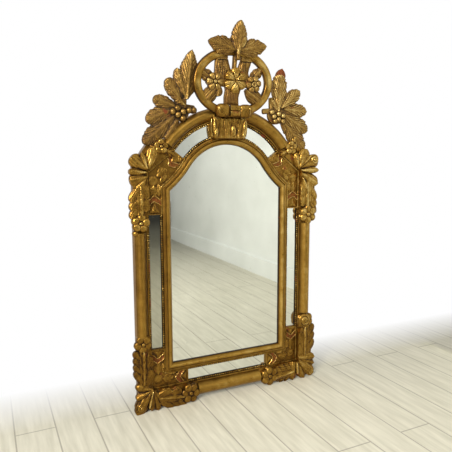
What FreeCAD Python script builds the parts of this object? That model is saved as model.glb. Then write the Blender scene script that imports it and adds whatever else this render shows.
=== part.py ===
"""Framed mirror with marginal glass plates and a carved crest.

Frame of the part: +X to the right, +Z up, the front toward -Y.  The origin lies on the middle line
of the bottom rail's back face, which rests on the wall.  Lengths are in millimetres.
"""
import FreeCAD, Part
import Sketcher
import math
import os

VEC = FreeCAD.Vector
CUT_MARGIN = 5.0
JOINT = 0.3

SIZES = [
    ("sight_half_width", 202, "half width of the centre glass that shows"),
    ("sight_side_height", 565, "straight side of the centre glass, bottom to shoulder"),
    ("arch_radius", 160, "sight radius of the arched head"),
    ("arch_centre_drop", 14, "arch centre below the shoulder corner"),
    ("flare_radius", 350, "radius of the curve from shoulder to arch"),
    ("inner_width", 27, "face width of the moulding round the centre glass"),
    ("inner_crown_height", 30, "top of that moulding above the wall plane"),
    ("inner_side_height", 23, "outer edge of that moulding above the wall plane"),
    ("inner_stem_width", 12, "tongue of that moulding between the glass plates"),
    ("bead_width", 7, "width of a bead strip"),
    ("bead_height", 7, "height of a bead strip above the glass"),
    ("margin_glass_sight", 36, "visible width of the glass beside the moulding"),
    ("glass_thickness", 4, "all mirror glass"),
    ("glass_gap", 0.5, "play round a glass plate"),
    ("outer_width", 44, "face width of the outer moulding"),
    ("rail_rise", 17, "inner edge of the bottom rail above the origin"),
    ("rail_width", 47, "face width of the bottom rail"),
    ("outer_crown_height", 42, "top of the outer moulding above the wall plane"),
    ("outer_side_height", 32, "outer side of the outer moulding"),
    ("outer_lip_height", 22, "flat lip beside the bead strip"),
    ("outer_lip_width", 6, "width of that lip"),
    ("rebate_width", 10, "rear rebate in the outer frame"),
    ("board_recess", 2, "back boards below the wall plane"),
    ("board_thickness", 7, "back boards"),
    ("board_gap", 1, "play round the back boards"),
    ("block_height", 26, "flat seat of the carvings above the wall plane"),
    ("panel_height", 22, "sunk panels above the wall plane"),
    ("foot_block_height", 183, "foot block above the rail's inner edge"),
    ("foot_block_reach", 160, "foot block inward from the stile's inner edge"),
    ("foot_panel_height", 132, "foot panel above the rail's inner edge"),
    ("foot_panel_reach", 129, "foot panel inward from the stile's inner edge"),
    ("shoulder_block_drop", 127, "shoulder block below the shoulder corner"),
    ("shoulder_block_rise", 81, "shoulder block's outer corner above the shoulder corner"),
    ("shoulder_eye_rise", 58, "inner bend of the shoulder block above the shoulder corner"),
    ("shoulder_panel_drop", 74, "shoulder panel below the shoulder corner"),
    ("ear_reach", 37, "shoulder block beyond the arch's outer edge"),
    ("arch_end_clear", 2.5, "end of the outer arch before the flare, in degrees"),
    ("keystone_angle", 13, "half angle of the keystone block"),
    ("carving_thickness", 8, "edge of the applied carvings"),
    ("carving_ridge", 11, "ridge of the applied carvings above their edge"),
    ("foot_eye_rise", 7, "eye of a foot shell above the rail's inner edge"),
    ("foot_shell_reach", 90, "longest lobe of a foot shell"),
    ("shoulder_shell_reach", 82, "longest lobe of a shoulder shell"),
    ("shell_lobe_width", 30, "widest part of a shell lobe"),
    ("foot_leaf_length", 112, "leaf over a foot shell"),
    ("foot_leaf_width", 64, "leaf over a foot shell"),
    ("foot_flower_radius", 27, "flower over that leaf"),
    ("rail_leaf_length", 85, "leaf beside a foot shell"),
    ("rail_leaf_width", 66, "leaf beside a foot shell"),
    ("rail_flower_radius", 34, "flower at the end of that leaf"),
    ("rail_carving_drop", 15, "middle line of that leaf and flower below the origin"),
    ("shoulder_leaf_length", 84, "leaf under a shoulder shell"),
    ("shoulder_leaf_width", 62, "leaf under a shoulder shell"),
    ("shoulder_flower_radius", 29, "flower under that leaf"),
    ("drop_gap", 12, "middle of an upright flower beyond its leaf"),
    ("rail_drop_gap", 12, "middle of a rail flower beyond its leaf"),
    ("arch_flower_radius", 22, "flower at the end of the arch"),
    ("cartouche_top_width", 112, "keystone carving at its top"),
    ("cartouche_foot_width", 104, "keystone carving at its foot"),
    ("cartouche_waist", 5, "drawn-in waist of the keystone carving"),
    ("cartouche_overhang", 3, "keystone carving over the inner moulding"),
    ("cartouche_thickness", 20, "keystone carving"),
    ("crest_lean", 6, "forward lean of the crest in degrees"),
    ("crest_stand_off", 2, "crest in front of the outer moulding's top"),
    ("crest_overlap", 35, "crest ring below the top of the arch"),
    ("seat_width", 76, "wedge that carries the crest"),
    ("ring_half_width", 138, "crest ring, outside"),
    ("ring_half_height", 107, "crest ring, outside"),
    ("ring_band", 26, "face width of the crest ring"),
    ("ring_thickness", 16, "crest ring"),
    ("ring_round", 5, "rounded front edges of the crest ring"),
    ("crest_gap", 0.2, "joint between the ring and the carving inside it"),
    ("ribbon_width", 116, "bow at the foot of the ring"),
    ("ribbon_height", 40, "bow at the foot of the ring"),
    ("ribbon_thickness", 10, "bow at the foot of the ring"),
    ("ribbon_rise", 24, "middle of the bow above the foot of the ring"),
    ("trunk_width", 52, "stem bundle inside the ring, at its top"),
    ("trunk_foot_width", 44, "stem bundle inside the ring, at its foot"),
    ("trunk_arm_width", 40, "upper branches of the stem bundle"),
    ("trunk_arm_spread", 46, "middle of an upper branch from the middle line"),
    ("trunk_thickness", 14, "stem bundle"),
    ("centre_flower_radius", 36, "large flower inside the ring"),
    ("centre_flower_rise", 116, "middle of that flower above the foot of the ring"),
    ("posy_flower_radius", 24, "side flowers inside the ring"),
    ("posy_flower_spread", 76, "middle of a side flower from the middle line"),
    ("posy_leaf_length", 68, "leaves of the side flowers"),
    ("posy_leaf_width", 34, "leaves of the side flowers"),
    ("posy_bud_length", 64, "drooping buds of the side flowers"),
    ("posy_bud_width", 36, "drooping buds of the side flowers"),
    ("finial_stem_width", 12, "stem under the finial leaves"),
    ("finial_top_length", 102, "upright finial leaf"),
    ("finial_top_width", 58, "upright finial leaf"),
    ("finial_side_length", 95, "side finial leaves"),
    ("finial_side_width", 54, "side finial leaves"),
    ("spray_hub_radius", 30, "root plate of a side spray"),
    ("spray_berry_radius", 9, "berries of a side spray"),
    ("spray_tall_length", 146, "upright leaf of a side spray"),
    ("spray_tall_width", 64, "upright leaf of a side spray"),
    ("spray_high_length", 95, "second leaf of a side spray"),
    ("spray_high_width", 40, "second leaf of a side spray"),
    ("spray_out_length", 98, "third leaf of a side spray"),
    ("spray_out_width", 44, "third leaf of a side spray"),
    ("spray_low_length", 116, "fourth leaf of a side spray"),
    ("spray_low_width", 52, "fourth leaf of a side spray"),
    ("spray_hanging_length", 140, "lowest leaf of a side spray"),
    ("spray_hanging_width", 58, "lowest leaf of a side spray"),
    ("nail_radius", 1, "nails of the back boards"),
    ("nail_head_radius", 2.5, "nails of the back boards"),
    ("nail_head_height", 1, "nails of the back boards"),
    ("nail_length", 12, "nails of the back boards, under the head"),
    ("hanger_plate_width", 18, "hanger plate"),
    ("hanger_plate_length", 56, "hanger plate below its eye"),
    ("hanger_plate_thickness", 1.5, "hanger plate"),
    ("hanger_eye_lift", 0.4, "eye of the hanger plate off the wood"),
    ("hanger_wire_radius", 1.75, "wire of the hanging ring"),
    ("hanger_bar_width", 26, "straight bar of the hanging ring"),
    ("hanger_ring_drop", 28, "hanging ring from bar to far side"),
    ("hanger_fit", 0.06, "play of the wire in the eye"),
    ("hanger_screw_radius", 2, "wood screws of the hanger plates"),
    ("hanger_screw_head", 4, "head radius of those screws"),
    ("hanger_screw_length", 16, "those screws, under the head"),
]

doc = FreeCAD.newDocument("framed_mirror")
sheet = doc.addObject("Spreadsheet::Sheet", "Sizes")
for row, (alias, number, meaning) in enumerate(SIZES, start=1):
    sheet.set(f"A{row}", meaning)
    sheet.set(f"B{row}", str(number))
    sheet.setAlias(f"B{row}", alias)
doc.recompute()

parts = {}


class Dim:
    """A length written as a sheet expression, so that a feature can be bound to it."""

    def __init__(self, text):
        self.text = str(text)

    def join(self, sign, other):
        return Dim(f"({self.text} {sign} {other})")

    def __add__(self, other):
        return self.join("+", other)

    def __sub__(self, other):
        return self.join("-", other)

    def __mul__(self, other):
        return self.join("*", other)

    def __truediv__(self, other):
        return self.join("/", other)

    def __neg__(self):
        return Dim(f"(0 - {self.text})")

    def __str__(self):
        return self.text

    @property
    def mm(self):
        return float(sheet.evalExpression(self.text))


def size(alias):
    return Dim("Sizes." + alias)


def root(dim):
    return Dim(f"sqrt({dim})")


def sine(angle):
    return Dim(f"sin({angle})")


def cosine(angle):
    return Dim(f"cos({angle})")


ZERO = Dim("0")

# Layout of the front, all from the sheet.
sight_half = size("sight_half_width")
inner_width = size("inner_width")
bead_width = size("bead_width")
outer_width = size("outer_width")
rebate_width = size("rebate_width")
inner_edge = sight_half + inner_width
margin_width = bead_width * 2 + size("margin_glass_sight")
outer_edge = inner_edge + margin_width
rail_width = size("rail_width")
rail_edge = size("rail_rise")
rail_foot = rail_edge - rail_width
frame_edge = outer_edge + outer_width
inner_rail_edge = rail_edge + margin_width
sight_bottom = inner_rail_edge + inner_width
shoulder = sight_bottom + size("sight_side_height")
arch_z = shoulder - size("arch_centre_drop")
arch_radius = size("arch_radius")
flare_radius = size("flare_radius")
inner_arch_edge = arch_radius + inner_width
outer_arch_edge = inner_arch_edge + margin_width
arch_rim = outer_arch_edge + outer_width
keystone_angle = size("keystone_angle")

# Depths from the wall plane toward the viewer.
glass_back = size("board_recess") + size("board_thickness")
glass_front = glass_back + size("glass_thickness")
glass_gap = size("glass_gap")
block_front = size("block_height")
panel_front = size("panel_height")
stem_start = (inner_width - size("inner_stem_width")) / 2
stem_end = stem_start + size("inner_stem_width")
glass_lap = stem_start - glass_gap
margin_lap = inner_width - stem_end - glass_gap
board_play = size("board_gap")

# Centre of the flare, which touches the arch from outside and meets the shoulder corner.
drop = size("arch_centre_drop")
both_radii = arch_radius + flare_radius
corner_reach = root(sight_half * sight_half + drop * drop)
along = (both_radii * both_radii - flare_radius * flare_radius + corner_reach * corner_reach)
along = along / (corner_reach * 2)
across = root(both_radii * both_radii - along * along)
flare_x = (along * sight_half - across * drop) / corner_reach
flare_z = arch_z + (along * drop + across * sight_half) / corner_reach


# End of the outer arch from the vertical, just before the arch turns into the flare.
arch_end = Dim(f"(atan({flare_x} / {flare_z - arch_z}) / 1deg)") - size("arch_end_clear")


def flare_corner(offset):
    """Height where the flare, moved outward by an offset, meets the straight side."""
    radius = flare_radius - offset
    run = flare_x - sight_half - offset
    return flare_z - root(radius * radius - run * run)


def flare_touch(offset):
    """Point where the flare and the arch, both moved by an offset, touch."""
    share = (arch_radius + offset) / both_radii
    return flare_x * share, arch_z + (flare_z - arch_z) * share


def on_arch(radius, angle):
    """Point on a circle round the arch centre, the angle from the vertical to the right."""
    return radius * sine(angle), arch_z + radius * cosine(angle)


shoulder_rise = flare_corner(inner_width) - shoulder


class Bend:
    """Arc of a radius to the next corner; side is +1 with the centre on the left."""

    def __init__(self, radius, side):
        self.radius = radius
        self.side = side


class Through:
    """Arc to the next corner through a point."""

    def __init__(self, x, y):
        self.x = x
        self.y = y


def new_body(label, x=ZERO, y=ZERO, z=ZERO):
    body = doc.addObject("PartDesign::Body", label)
    body.Label = label
    move_to(body, x, y, z)
    parts[label] = body
    return body


def move_to(item, x=ZERO, y=ZERO, z=ZERO):
    for axis, dim in zip("xyz", (x, y, z)):
        if dim is not ZERO:
            item.setExpression(f"Placement.Base.{axis}", str(dim))


def turn(item, axis, angle):
    item.Placement = FreeCAD.Placement(item.Placement.Base, FreeCAD.Rotation(axis, angle.mm))
    item.setExpression("Placement.Rotation.Angle", str(angle))


def sketch_in(body, role, offset=ZERO):
    sketch = body.newObject("Sketcher::SketchObject", body.Name + "_sketch")
    plane = next(item for item in body.Origin.OriginFeatures if item.Role == role)
    sketch.AttachmentSupport = [(plane, "")]
    sketch.MapMode = "FlatFace"
    if offset is not ZERO:
        sketch.setExpression("AttachmentOffset.Base.z", str(offset))
    return sketch


def bind(sketch, kind, refs, dim):
    index = sketch.addConstraint(Sketcher.Constraint(kind, *refs, dim.mm))
    sketch.setExpression(f"Constraints[{index}]", str(dim))


def pin_point(sketch, geometry, end, x, y):
    """Fixes a point of the sketch at two sheet lengths from its origin."""
    for dim, kind, axis in ((x, "DistanceX", -2), (y, "DistanceY", -1)):
        if dim is ZERO:
            sketch.addConstraint(Sketcher.Constraint("PointOnObject", geometry, end, axis))
        else:
            bind(sketch, kind, (-1, 1, geometry, end), dim)


def arc_between(start, finish, centre, side):
    """Arc with the centre on the left (+1) or right (-1), and its ends at start and finish."""
    radius = (start - centre).Length
    circle = Part.Circle(centre, VEC(0, 0, 1), radius)
    first = math.atan2(start.y - centre.y, start.x - centre.x)
    last = math.atan2(finish.y - centre.y, finish.x - centre.x)
    if side > 0:
        return Part.ArcOfCircle(circle, first, last), 1, 2
    return Part.ArcOfCircle(circle, last, first), 2, 1


def circle_centre(a, b, c):
    """Centre of the circle through three points."""
    d = 2 * (a.x * (b.y - c.y) + b.x * (c.y - a.y) + c.x * (a.y - b.y))
    aa, bb, cc = a.dot(a), b.dot(b), c.dot(c)
    x = (aa * (b.y - c.y) + bb * (c.y - a.y) + cc * (a.y - b.y)) / d
    y = (aa * (c.x - b.x) + bb * (a.x - c.x) + cc * (b.x - a.x)) / d
    return VEC(x, y, 0)


def add_edge(sketch, start, finish, bend):
    """Adds one edge and returns its index with the ends that lie at start and finish."""
    if bend is None:
        return sketch.addGeometry(Part.LineSegment(start, finish), False), 1, 2
    if isinstance(bend, Bend):
        chord = finish - start
        normal = VEC(-chord.y, chord.x, 0).normalize()
        rise = math.sqrt(bend.radius.mm ** 2 - (chord.Length / 2) ** 2)
        centre = (start + finish) * 0.5 + normal * (rise * bend.side)
        arc, first, last = arc_between(start, finish, centre, bend.side)
        edge = sketch.addGeometry(arc, False)
        bind(sketch, "Radius", (edge,), bend.radius)
        return edge, first, last
    middle = VEC(bend.x.mm, bend.y.mm, 0)
    side = (middle - start).cross(finish - middle).z
    arc, first, last = arc_between(start, finish, circle_centre(start, middle, finish), side)
    edge = sketch.addGeometry(arc, False)
    mark = sketch.addGeometry(Part.Point(middle), True)
    pin_point(sketch, mark, 1, bend.x, bend.y)
    sketch.addConstraint(Sketcher.Constraint("PointOnObject", mark, 1, edge))
    return edge, first, last


def draw(sketch, corners, closed=True):
    """Draws corners given as (x, y) or (x, y, bend to the next corner)."""
    points = [VEC(corner[0].mm, corner[1].mm, 0) for corner in corners]
    count = len(corners) if closed else len(corners) - 1
    edges = []
    for i in range(count):
        bend = corners[i][2] if len(corners[i]) > 2 else None
        edges.append(add_edge(sketch, points[i], points[(i + 1) % len(points)], bend))
    for i, (edge, first, last) in enumerate(edges):
        pin_point(sketch, edge, first, corners[i][0], corners[i][1])
        if i + 1 < count or closed:
            following, start, _ = edges[(i + 1) % count]
            sketch.addConstraint(Sketcher.Constraint("Coincident", edge, last, following, start))
        else:
            pin_point(sketch, edge, last, corners[i + 1][0], corners[i + 1][1])


def pad(body, sketch, length, symmetric=False):
    feature = body.newObject("PartDesign::Pad", body.Name + "_pad")
    feature.Profile = sketch
    feature.SideType = "Symmetric" if symmetric else "One side"
    feature.setExpression("Length", str(length))
    sketch.Visibility = False
    return feature


def pocket_through(body, sketch):
    feature = body.newObject("PartDesign::Pocket", body.Name + "_cut")
    feature.Profile = sketch
    feature.Type = "ThroughAll"
    feature.SideType = "Symmetric"
    return feature


def revolve(body, sketch, angle, symmetric=False):
    feature = body.newObject("PartDesign::Revolution", body.Name + "_turn")
    feature.Profile = sketch
    feature.ReferenceAxis = (sketch, ["H_Axis"])
    feature.Midplane = symmetric
    feature.setExpression("Angle", str(angle))
    return feature


def plate(label, corners, back, front):
    """Flat piece with its outline in the front view, between two depths."""
    body = new_body(label)
    sketch = sketch_in(body, "XZ_Plane", back)
    draw(sketch, corners)
    pad(body, sketch, front - back)
    return body


def mirrored(source, label):
    item = doc.addObject("Part::Mirroring", label)
    item.Label = label
    item.Source = source
    item.Normal = VEC(1, 0, 0)
    parts[label] = item
    return item


def pair(build, stem):
    """Builds the right-hand piece and its mirror image."""
    return mirrored(build(stem + "_right"), stem + "_left")


def outer_profile(at, width=outer_width):
    """Outer moulding: u runs outward from its inner edge, depth from the wall plane."""
    lip = size("outer_lip_width")
    crown = Through(*at((width + lip) / 2, size("outer_crown_height")))
    return [
        at(rebate_width, ZERO),
        at(width, ZERO),
        (*at(width, size("outer_side_height")), crown),
        at(lip, size("outer_lip_height")),
        at(ZERO, size("outer_lip_height")),
        at(ZERO, glass_front),
        at(rebate_width, glass_front),
    ]


def inner_profile(at):
    """Inner moulding: u runs outward from the sight edge, a tongue parts the glass plates."""
    side = size("inner_side_height")
    edge = glass_front + 2
    ridge_end = inner_width * 0.54
    crown = Through(*at(inner_width * 0.3, size("inner_crown_height")))
    return [
        at(stem_start, glass_back),
        at(stem_end, glass_back),
        at(stem_end, glass_front),
        at(inner_width, glass_front),
        at(inner_width, side),
        at(ridge_end + 2, side + 1),
        (*at(ridge_end, side - 1), crown),
        at(inner_width * 0.06, side - 1),
        at(ZERO, edge),
        at(ZERO, glass_front),
        at(stem_start, glass_front),
    ]


def outer_stile(label):
    body = new_body(label, x=outer_edge, z=rail_edge + size("foot_block_height"))
    sketch = sketch_in(body, "XY_Plane")
    draw(sketch, outer_profile(lambda u, depth: (u, -depth if depth is not ZERO else ZERO)))
    top = shoulder - size("shoulder_block_drop")
    pad(body, sketch, top - rail_edge - size("foot_block_height"))
    return body


def outer_rail(label):
    body = new_body(label)
    sketch = sketch_in(body, "YZ_Plane")
    def at(u, depth):
        return (-depth if depth is not ZERO else ZERO, rail_edge - u)

    draw(sketch, outer_profile(at, rail_width))
    pad(body, sketch, (outer_edge - size("foot_block_reach")) * 2, symmetric=True)
    return body


def arch_sector(label, profile, start, angle):
    """Turned piece round the arch centre, from an angle to the right of the crown."""
    body = new_body(label, z=arch_z)
    turn(body, VEC(0, 1, 0), start)
    sketch = sketch_in(body, "YZ_Plane")
    draw(sketch, profile)
    revolve(body, sketch, angle)
    return body


def outer_arch(label):
    profile = outer_profile(lambda u, depth: (-depth if depth is not ZERO else ZERO, outer_arch_edge + u))
    return arch_sector(label, profile, keystone_angle, arch_end - keystone_angle)


def sector_rectangle(low, high, back, front):
    return [(-back, low), (-back, high), (-front, high), (-front, low)]


def arch_glass(label):
    low = inner_arch_edge - margin_lap
    high = outer_arch_edge + rebate_width - board_play * 2
    play = glass_gap / low * 180 / math.pi
    profile = sector_rectangle(low, high, glass_back, glass_front)
    return arch_sector(label, profile, keystone_angle + play, arch_end - keystone_angle - play * 2)


def keystone_block(label):
    body = new_body(label, z=arch_z)
    sketch = sketch_in(body, "YZ_Plane")
    rebate = outer_arch_edge + rebate_width
    draw(sketch, [
        (-glass_back, inner_arch_edge),
        (-glass_back, rebate),
        (ZERO, rebate),
        (ZERO, arch_rim),
        (-block_front, arch_rim),
        (-block_front, inner_arch_edge),
    ])
    revolve(body, sketch, keystone_angle * 2, symmetric=True)
    return body


def rebate_cut(body, corners):
    """Rear rebate for glass and back board, cut from the wall plane."""
    sketch = sketch_in(body, "XZ_Plane")
    draw(sketch, corners)
    feature = body.newObject("PartDesign::Pocket", body.Name + "_rebate")
    feature.Profile = sketch
    feature.Reversed = True
    feature.setExpression("Length", str(glass_front))


foot_inner = outer_edge - size("foot_block_reach")
foot_top = rail_edge + size("foot_block_height")


def foot_block(label):
    body = plate(label, [
        (foot_inner, rail_foot),
        (frame_edge, rail_foot),
        (frame_edge, foot_top),
        (outer_edge, foot_top),
        (outer_edge, rail_edge),
        (foot_inner, rail_edge),
    ], ZERO, block_front)
    rebate_cut(body, [
        (foot_inner - CUT_MARGIN, rail_edge - rebate_width),
        (outer_edge + rebate_width, rail_edge - rebate_width),
        (outer_edge + rebate_width, foot_top + CUT_MARGIN),
        (outer_edge - CUT_MARGIN, foot_top + CUT_MARGIN),
        (outer_edge - CUT_MARGIN, rail_edge + CUT_MARGIN),
        (foot_inner - CUT_MARGIN, rail_edge + CUT_MARGIN),
    ])
    return body


eye_z = shoulder + size("shoulder_eye_rise")
shoulder_foot = shoulder - size("shoulder_block_drop")


def shoulder_block(label):
    body = plate(label, [
        (outer_edge, shoulder_foot),
        (frame_edge, shoulder_foot),
        (frame_edge, shoulder + size("shoulder_block_rise")),
        on_arch(arch_rim + size("ear_reach"), arch_end),
        on_arch(outer_arch_edge, arch_end),
        (outer_edge, eye_z),
    ], ZERO, block_front)
    rebate_x, rebate_z = on_arch(outer_arch_edge + rebate_width, arch_end)
    rebate_cut(body, [
        (rebate_x, rebate_z),
        (outer_edge + rebate_width, eye_z + rebate_width),
        (outer_edge + rebate_width, shoulder_foot - CUT_MARGIN),
        (outer_edge - CUT_MARGIN, shoulder_foot - CUT_MARGIN),
        (outer_edge - CUT_MARGIN, eye_z - CUT_MARGIN),
        (rebate_x - rebate_width * 2, rebate_z),
    ])
    return body


panel_inner = outer_edge - size("foot_panel_reach")
side_glass_low = rail_edge + size("foot_panel_height")
side_glass_high = shoulder - size("shoulder_panel_drop")


def foot_panel(label):
    return plate(label, [
        (panel_inner, rail_edge),
        (outer_edge, rail_edge),
        (outer_edge, side_glass_low),
        (inner_edge, side_glass_low),
        (inner_edge, inner_rail_edge),
        (panel_inner, inner_rail_edge),
    ], glass_back, panel_front)


def shoulder_panel(label):
    touch_x, touch_z = flare_touch(inner_width)
    return plate(label, [
        (inner_edge, side_glass_high),
        (outer_edge, side_glass_high),
        (outer_edge, eye_z),
        on_arch(outer_arch_edge, arch_end),
        (*on_arch(inner_arch_edge, arch_end), Bend(inner_arch_edge, -1)),
        (touch_x, touch_z, Bend(flare_radius - inner_width, 1)),
        (inner_edge, flare_corner(inner_width)),
    ], glass_back, panel_front)


def inner_stile(label):
    body = new_body(label, x=sight_half, z=inner_rail_edge)
    sketch = sketch_in(body, "XY_Plane")
    draw(sketch, inner_profile(lambda u, depth: (u, -depth)))
    straight = inner_width + size("sight_side_height")
    pad(body, sketch, straight + shoulder_rise)
    ends = sketch_in(body, "XZ_Plane")
    outside = Dim(-CUT_MARGIN)
    draw(ends, [
        (ZERO, inner_width),
        (inner_width, ZERO),
        (inner_width, outside),
        (outside, outside),
        (outside, inner_width),
    ])
    draw(ends, [
        (ZERO, straight),
        (inner_width, straight + shoulder_rise),
        (inner_width, straight + shoulder_rise + CUT_MARGIN),
        (outside, straight + shoulder_rise + CUT_MARGIN),
        (outside, straight),
    ])
    pocket_through(body, ends)
    return body


def inner_rail(label):
    body = new_body(label)
    sketch = sketch_in(body, "YZ_Plane")
    draw(sketch, inner_profile(lambda u, depth: (-depth, sight_bottom - u)))
    pad(body, sketch, inner_edge * 2, symmetric=True)
    ends = sketch_in(body, "XZ_Plane")
    for flip in (lambda x: x, lambda x: -x):
        draw(ends, [
            (flip(sight_half), sight_bottom),
            (flip(inner_edge), inner_rail_edge),
            (flip(inner_edge + CUT_MARGIN), inner_rail_edge),
            (flip(inner_edge + CUT_MARGIN), sight_bottom + CUT_MARGIN),
            (flip(sight_half), sight_bottom + CUT_MARGIN),
        ])
    pocket_through(body, ends)
    return body


def inner_arch(label):
    body = new_body(label)
    profile = sketch_in(body, "YZ_Plane")
    draw(profile, inner_profile(lambda u, depth: (-depth, arch_z + arch_radius + u)))
    path = sketch_in(body, "XZ_Plane")
    end_x = sight_half + inner_width * 0.8
    run = flare_x - end_x
    touch_x, touch_z = flare_touch(ZERO)
    draw(path, [
        (ZERO, arch_z + arch_radius, Bend(arch_radius, -1)),
        (touch_x, touch_z, Bend(flare_radius, 1)),
        (end_x, flare_z - root(flare_radius * flare_radius - run * run)),
    ], closed=False)
    pipe = body.newObject("PartDesign::AdditivePipe", body.Name + "_pipe")
    pipe.Profile = profile
    pipe.Spine = (path, ["Edge1", "Edge2"])
    doc.recompute()
    twin = body.newObject("PartDesign::Mirrored", body.Name + "_twin")
    twin.Originals = [pipe]
    plane = next(item for item in body.Origin.OriginFeatures if item.Role == "YZ_Plane")
    twin.MirrorPlane = (plane, [""])
    body.Tip = twin
    ends = sketch_in(body, "XZ_Plane")
    corner_z = flare_corner(inner_width)
    for flip in (lambda x: x, lambda x: -x):
        draw(ends, [
            (flip(sight_half), shoulder),
            (flip(inner_edge), corner_z),
            (flip(inner_edge + inner_width), corner_z),
            (flip(inner_edge + inner_width), shoulder - inner_width * 2),
            (flip(sight_half), shoulder - inner_width * 2),
        ])
    pocket_through(body, ends)
    return body


def centre_glass(label):
    half = sight_half + glass_lap
    low = sight_bottom - glass_lap
    corner_z = flare_corner(glass_lap)
    touch_x, touch_z = flare_touch(glass_lap)
    return plate(label, [
        (-half, low),
        (half, low),
        (half, corner_z, Bend(flare_radius - glass_lap, -1)),
        (touch_x, touch_z, Bend(arch_radius + glass_lap, 1)),
        (-touch_x, touch_z, Bend(flare_radius - glass_lap, -1)),
        (-half, corner_z),
    ], glass_back, glass_front)


margin_reach = rebate_width - board_play * 2


def rectangle(left, right, low, high):
    return [(left, low), (right, low), (right, high), (left, high)]


def side_glass(label):
    corners = rectangle(inner_edge - margin_lap, outer_edge + margin_reach,
                        side_glass_low + glass_gap, side_glass_high - glass_gap)
    return plate(label, corners, glass_back, glass_front)


def base_glass(label):
    half = panel_inner - glass_gap
    corners = rectangle(-half, half, rail_edge - margin_reach, inner_rail_edge + margin_lap)
    return plate(label, corners, glass_back, glass_front)


def strip_group(label, strips):
    group = doc.addObject("Part::Compound", label)
    group.Label = label
    group.Links = strips
    parts[label] = group
    return group


def straight_strip(name, x, z, length, height):
    strip = doc.addObject("Part::Box", name)
    strip.setExpression("Length", str(length))
    strip.setExpression("Width", str(size("bead_height")))
    strip.setExpression("Height", str(height))
    move_to(strip, x, -(glass_front + size("bead_height")), z)
    return strip


def side_beads(label):
    height = side_glass_high - side_glass_low
    inner = straight_strip(label + "_inner", inner_edge, side_glass_low, bead_width, height)
    outer = straight_strip(label + "_outer", outer_edge - bead_width, side_glass_low, bead_width, height)
    return strip_group(label, [inner, outer])


def base_beads(label):
    length = panel_inner * 2
    upper = straight_strip(label + "_upper", -panel_inner, inner_rail_edge - bead_width, length, bead_width)
    lower = straight_strip(label + "_lower", -panel_inner, rail_edge, length, bead_width)
    return strip_group(label, [upper, lower])


def arch_strip(name, inside):
    """Bead strip round the arch, as the difference of two cylinder sectors."""
    sectors = []
    for suffix, radius in (("_rim", inside + bead_width), ("_core", inside)):
        sector = doc.addObject("Part::Cylinder", name + suffix)
        sector.setExpression("Radius", str(radius))
        sector.setExpression("Height", str(size("bead_height")))
        sector.setExpression("Angle", str(arch_end - keystone_angle))
        facing = FreeCAD.Rotation(VEC(1, 0, 0), VEC(0, 0, 1), VEC(0, -1, 0), "ZXY")
        start = FreeCAD.Rotation(VEC(0, 1, 0), (arch_end - Dim(90)).mm)
        sector.Placement = FreeCAD.Placement(VEC(0, 0, 0), start.multiply(facing))
        move_to(sector, y=-glass_front, z=arch_z)
        sectors.append(sector)
    strip = doc.addObject("Part::Cut", name)
    strip.Base = sectors[0]
    strip.Tool = sectors[1]
    return strip


def arch_beads(label):
    inner = arch_strip(label + "_inner", inner_arch_edge)
    outer = arch_strip(label + "_outer", outer_arch_edge - bead_width)
    return strip_group(label, [inner, outer])


def back_board(label):
    radius = outer_arch_edge + rebate_width - board_play
    seam = board_play / 4
    edge = outer_edge + rebate_width - board_play
    low = rail_edge - rebate_width + board_play
    return plate(label, [
        (seam, low),
        (edge, low),
        (edge, eye_z + rebate_width - board_play),
        (*on_arch(radius, arch_end), Bend(radius, 1)),
        (seam, arch_z + root(radius * radius - seam * seam)),
    ], size("board_recess"), glass_back)


# Carvings: solids made from outlines by formula, the back at y = 0 and the front toward -Y.

def carved(label, shape):
    if shape.ShapeType == "Compound" and len(shape.Solids) == 1:
        shape = shape.Solids[0]
    item = doc.addObject("Part::Feature", label)
    item.Label = label
    item.Shape = shape
    parts[label] = item
    return item


def pointed(share):
    return math.sin(math.pi * (0.06 + 0.94 * share) ** 0.8) ** 0.8


WIDEST = 0.62


def rounded(share):
    if share < WIDEST:
        return 0.4 + 0.6 * math.sin(math.pi / 2 * share / WIDEST)
    return math.sqrt(max(0.0, 1 - ((share - WIDEST) / (1 - WIDEST)) ** 2))


def leaf(length, width, outline=pointed, lobes=4, thickness=None, ridge=None):
    """Leaf growing along +Z from the origin, with lobed edges and a raised middle rib."""
    thickness = size("carving_thickness").mm if thickness is None else thickness
    ridge = size("carving_ridge").mm if ridge is None else ridge
    steps = 2 * lobes if lobes else 7
    left, right, rib = [], [], []
    for i in range(steps):
        share = i / steps
        notch = 0.82 if lobes and i % 2 == 0 and i > 0 else 1.0
        half = width / 2 * outline(share) * notch
        lift = 0.04 * length if lobes and i % 2 else 0.0
        height = thickness + ridge * math.sin(math.pi * (0.15 + 0.75 * share))
        left.append((-half, share * length + lift))
        right.append((half, share * length + lift))
        rib.append(VEC(0, -height, share * length))
    return ridged_solid(left, right, (0, length), rib, thickness)


def face(*corners):
    return Part.Face(Part.makePolygon([*corners, corners[0]]))


def ridged_solid(left, right, tip, rib, thickness):
    """Closed solid from two edge lines that meet in a tip, a rib above them and a flat back."""
    low_left, low_right = ([VEC(x, 0, z) for x, z in [*side, tip]] for side in (left, right))
    faces = [face(*low_left, *reversed(low_right[:-1]))]
    rise = VEC(0, -thickness, 0)
    foot = [low_left[0], low_right[0], low_right[0] + rise, low_left[0] + rise]
    faces += [face(*foot), face(foot[3], foot[2], rib[0])]
    for low in (low_left, low_right):
        high = [point + rise for point in low]
        for i in range(len(rib)):
            faces.append(face(low[i], low[i + 1], high[i + 1], high[i]))
            faces.append(face(high[i], high[i + 1], rib[i]))
            if i + 1 < len(rib):
                faces.append(face(high[i + 1], rib[i + 1], rib[i]))
    shell = Part.makeShell(faces)
    shell.sewShape()
    solid = Part.makeSolid(shell)
    if solid.Volume < 0:
        solid.reverse()
    return solid


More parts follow.
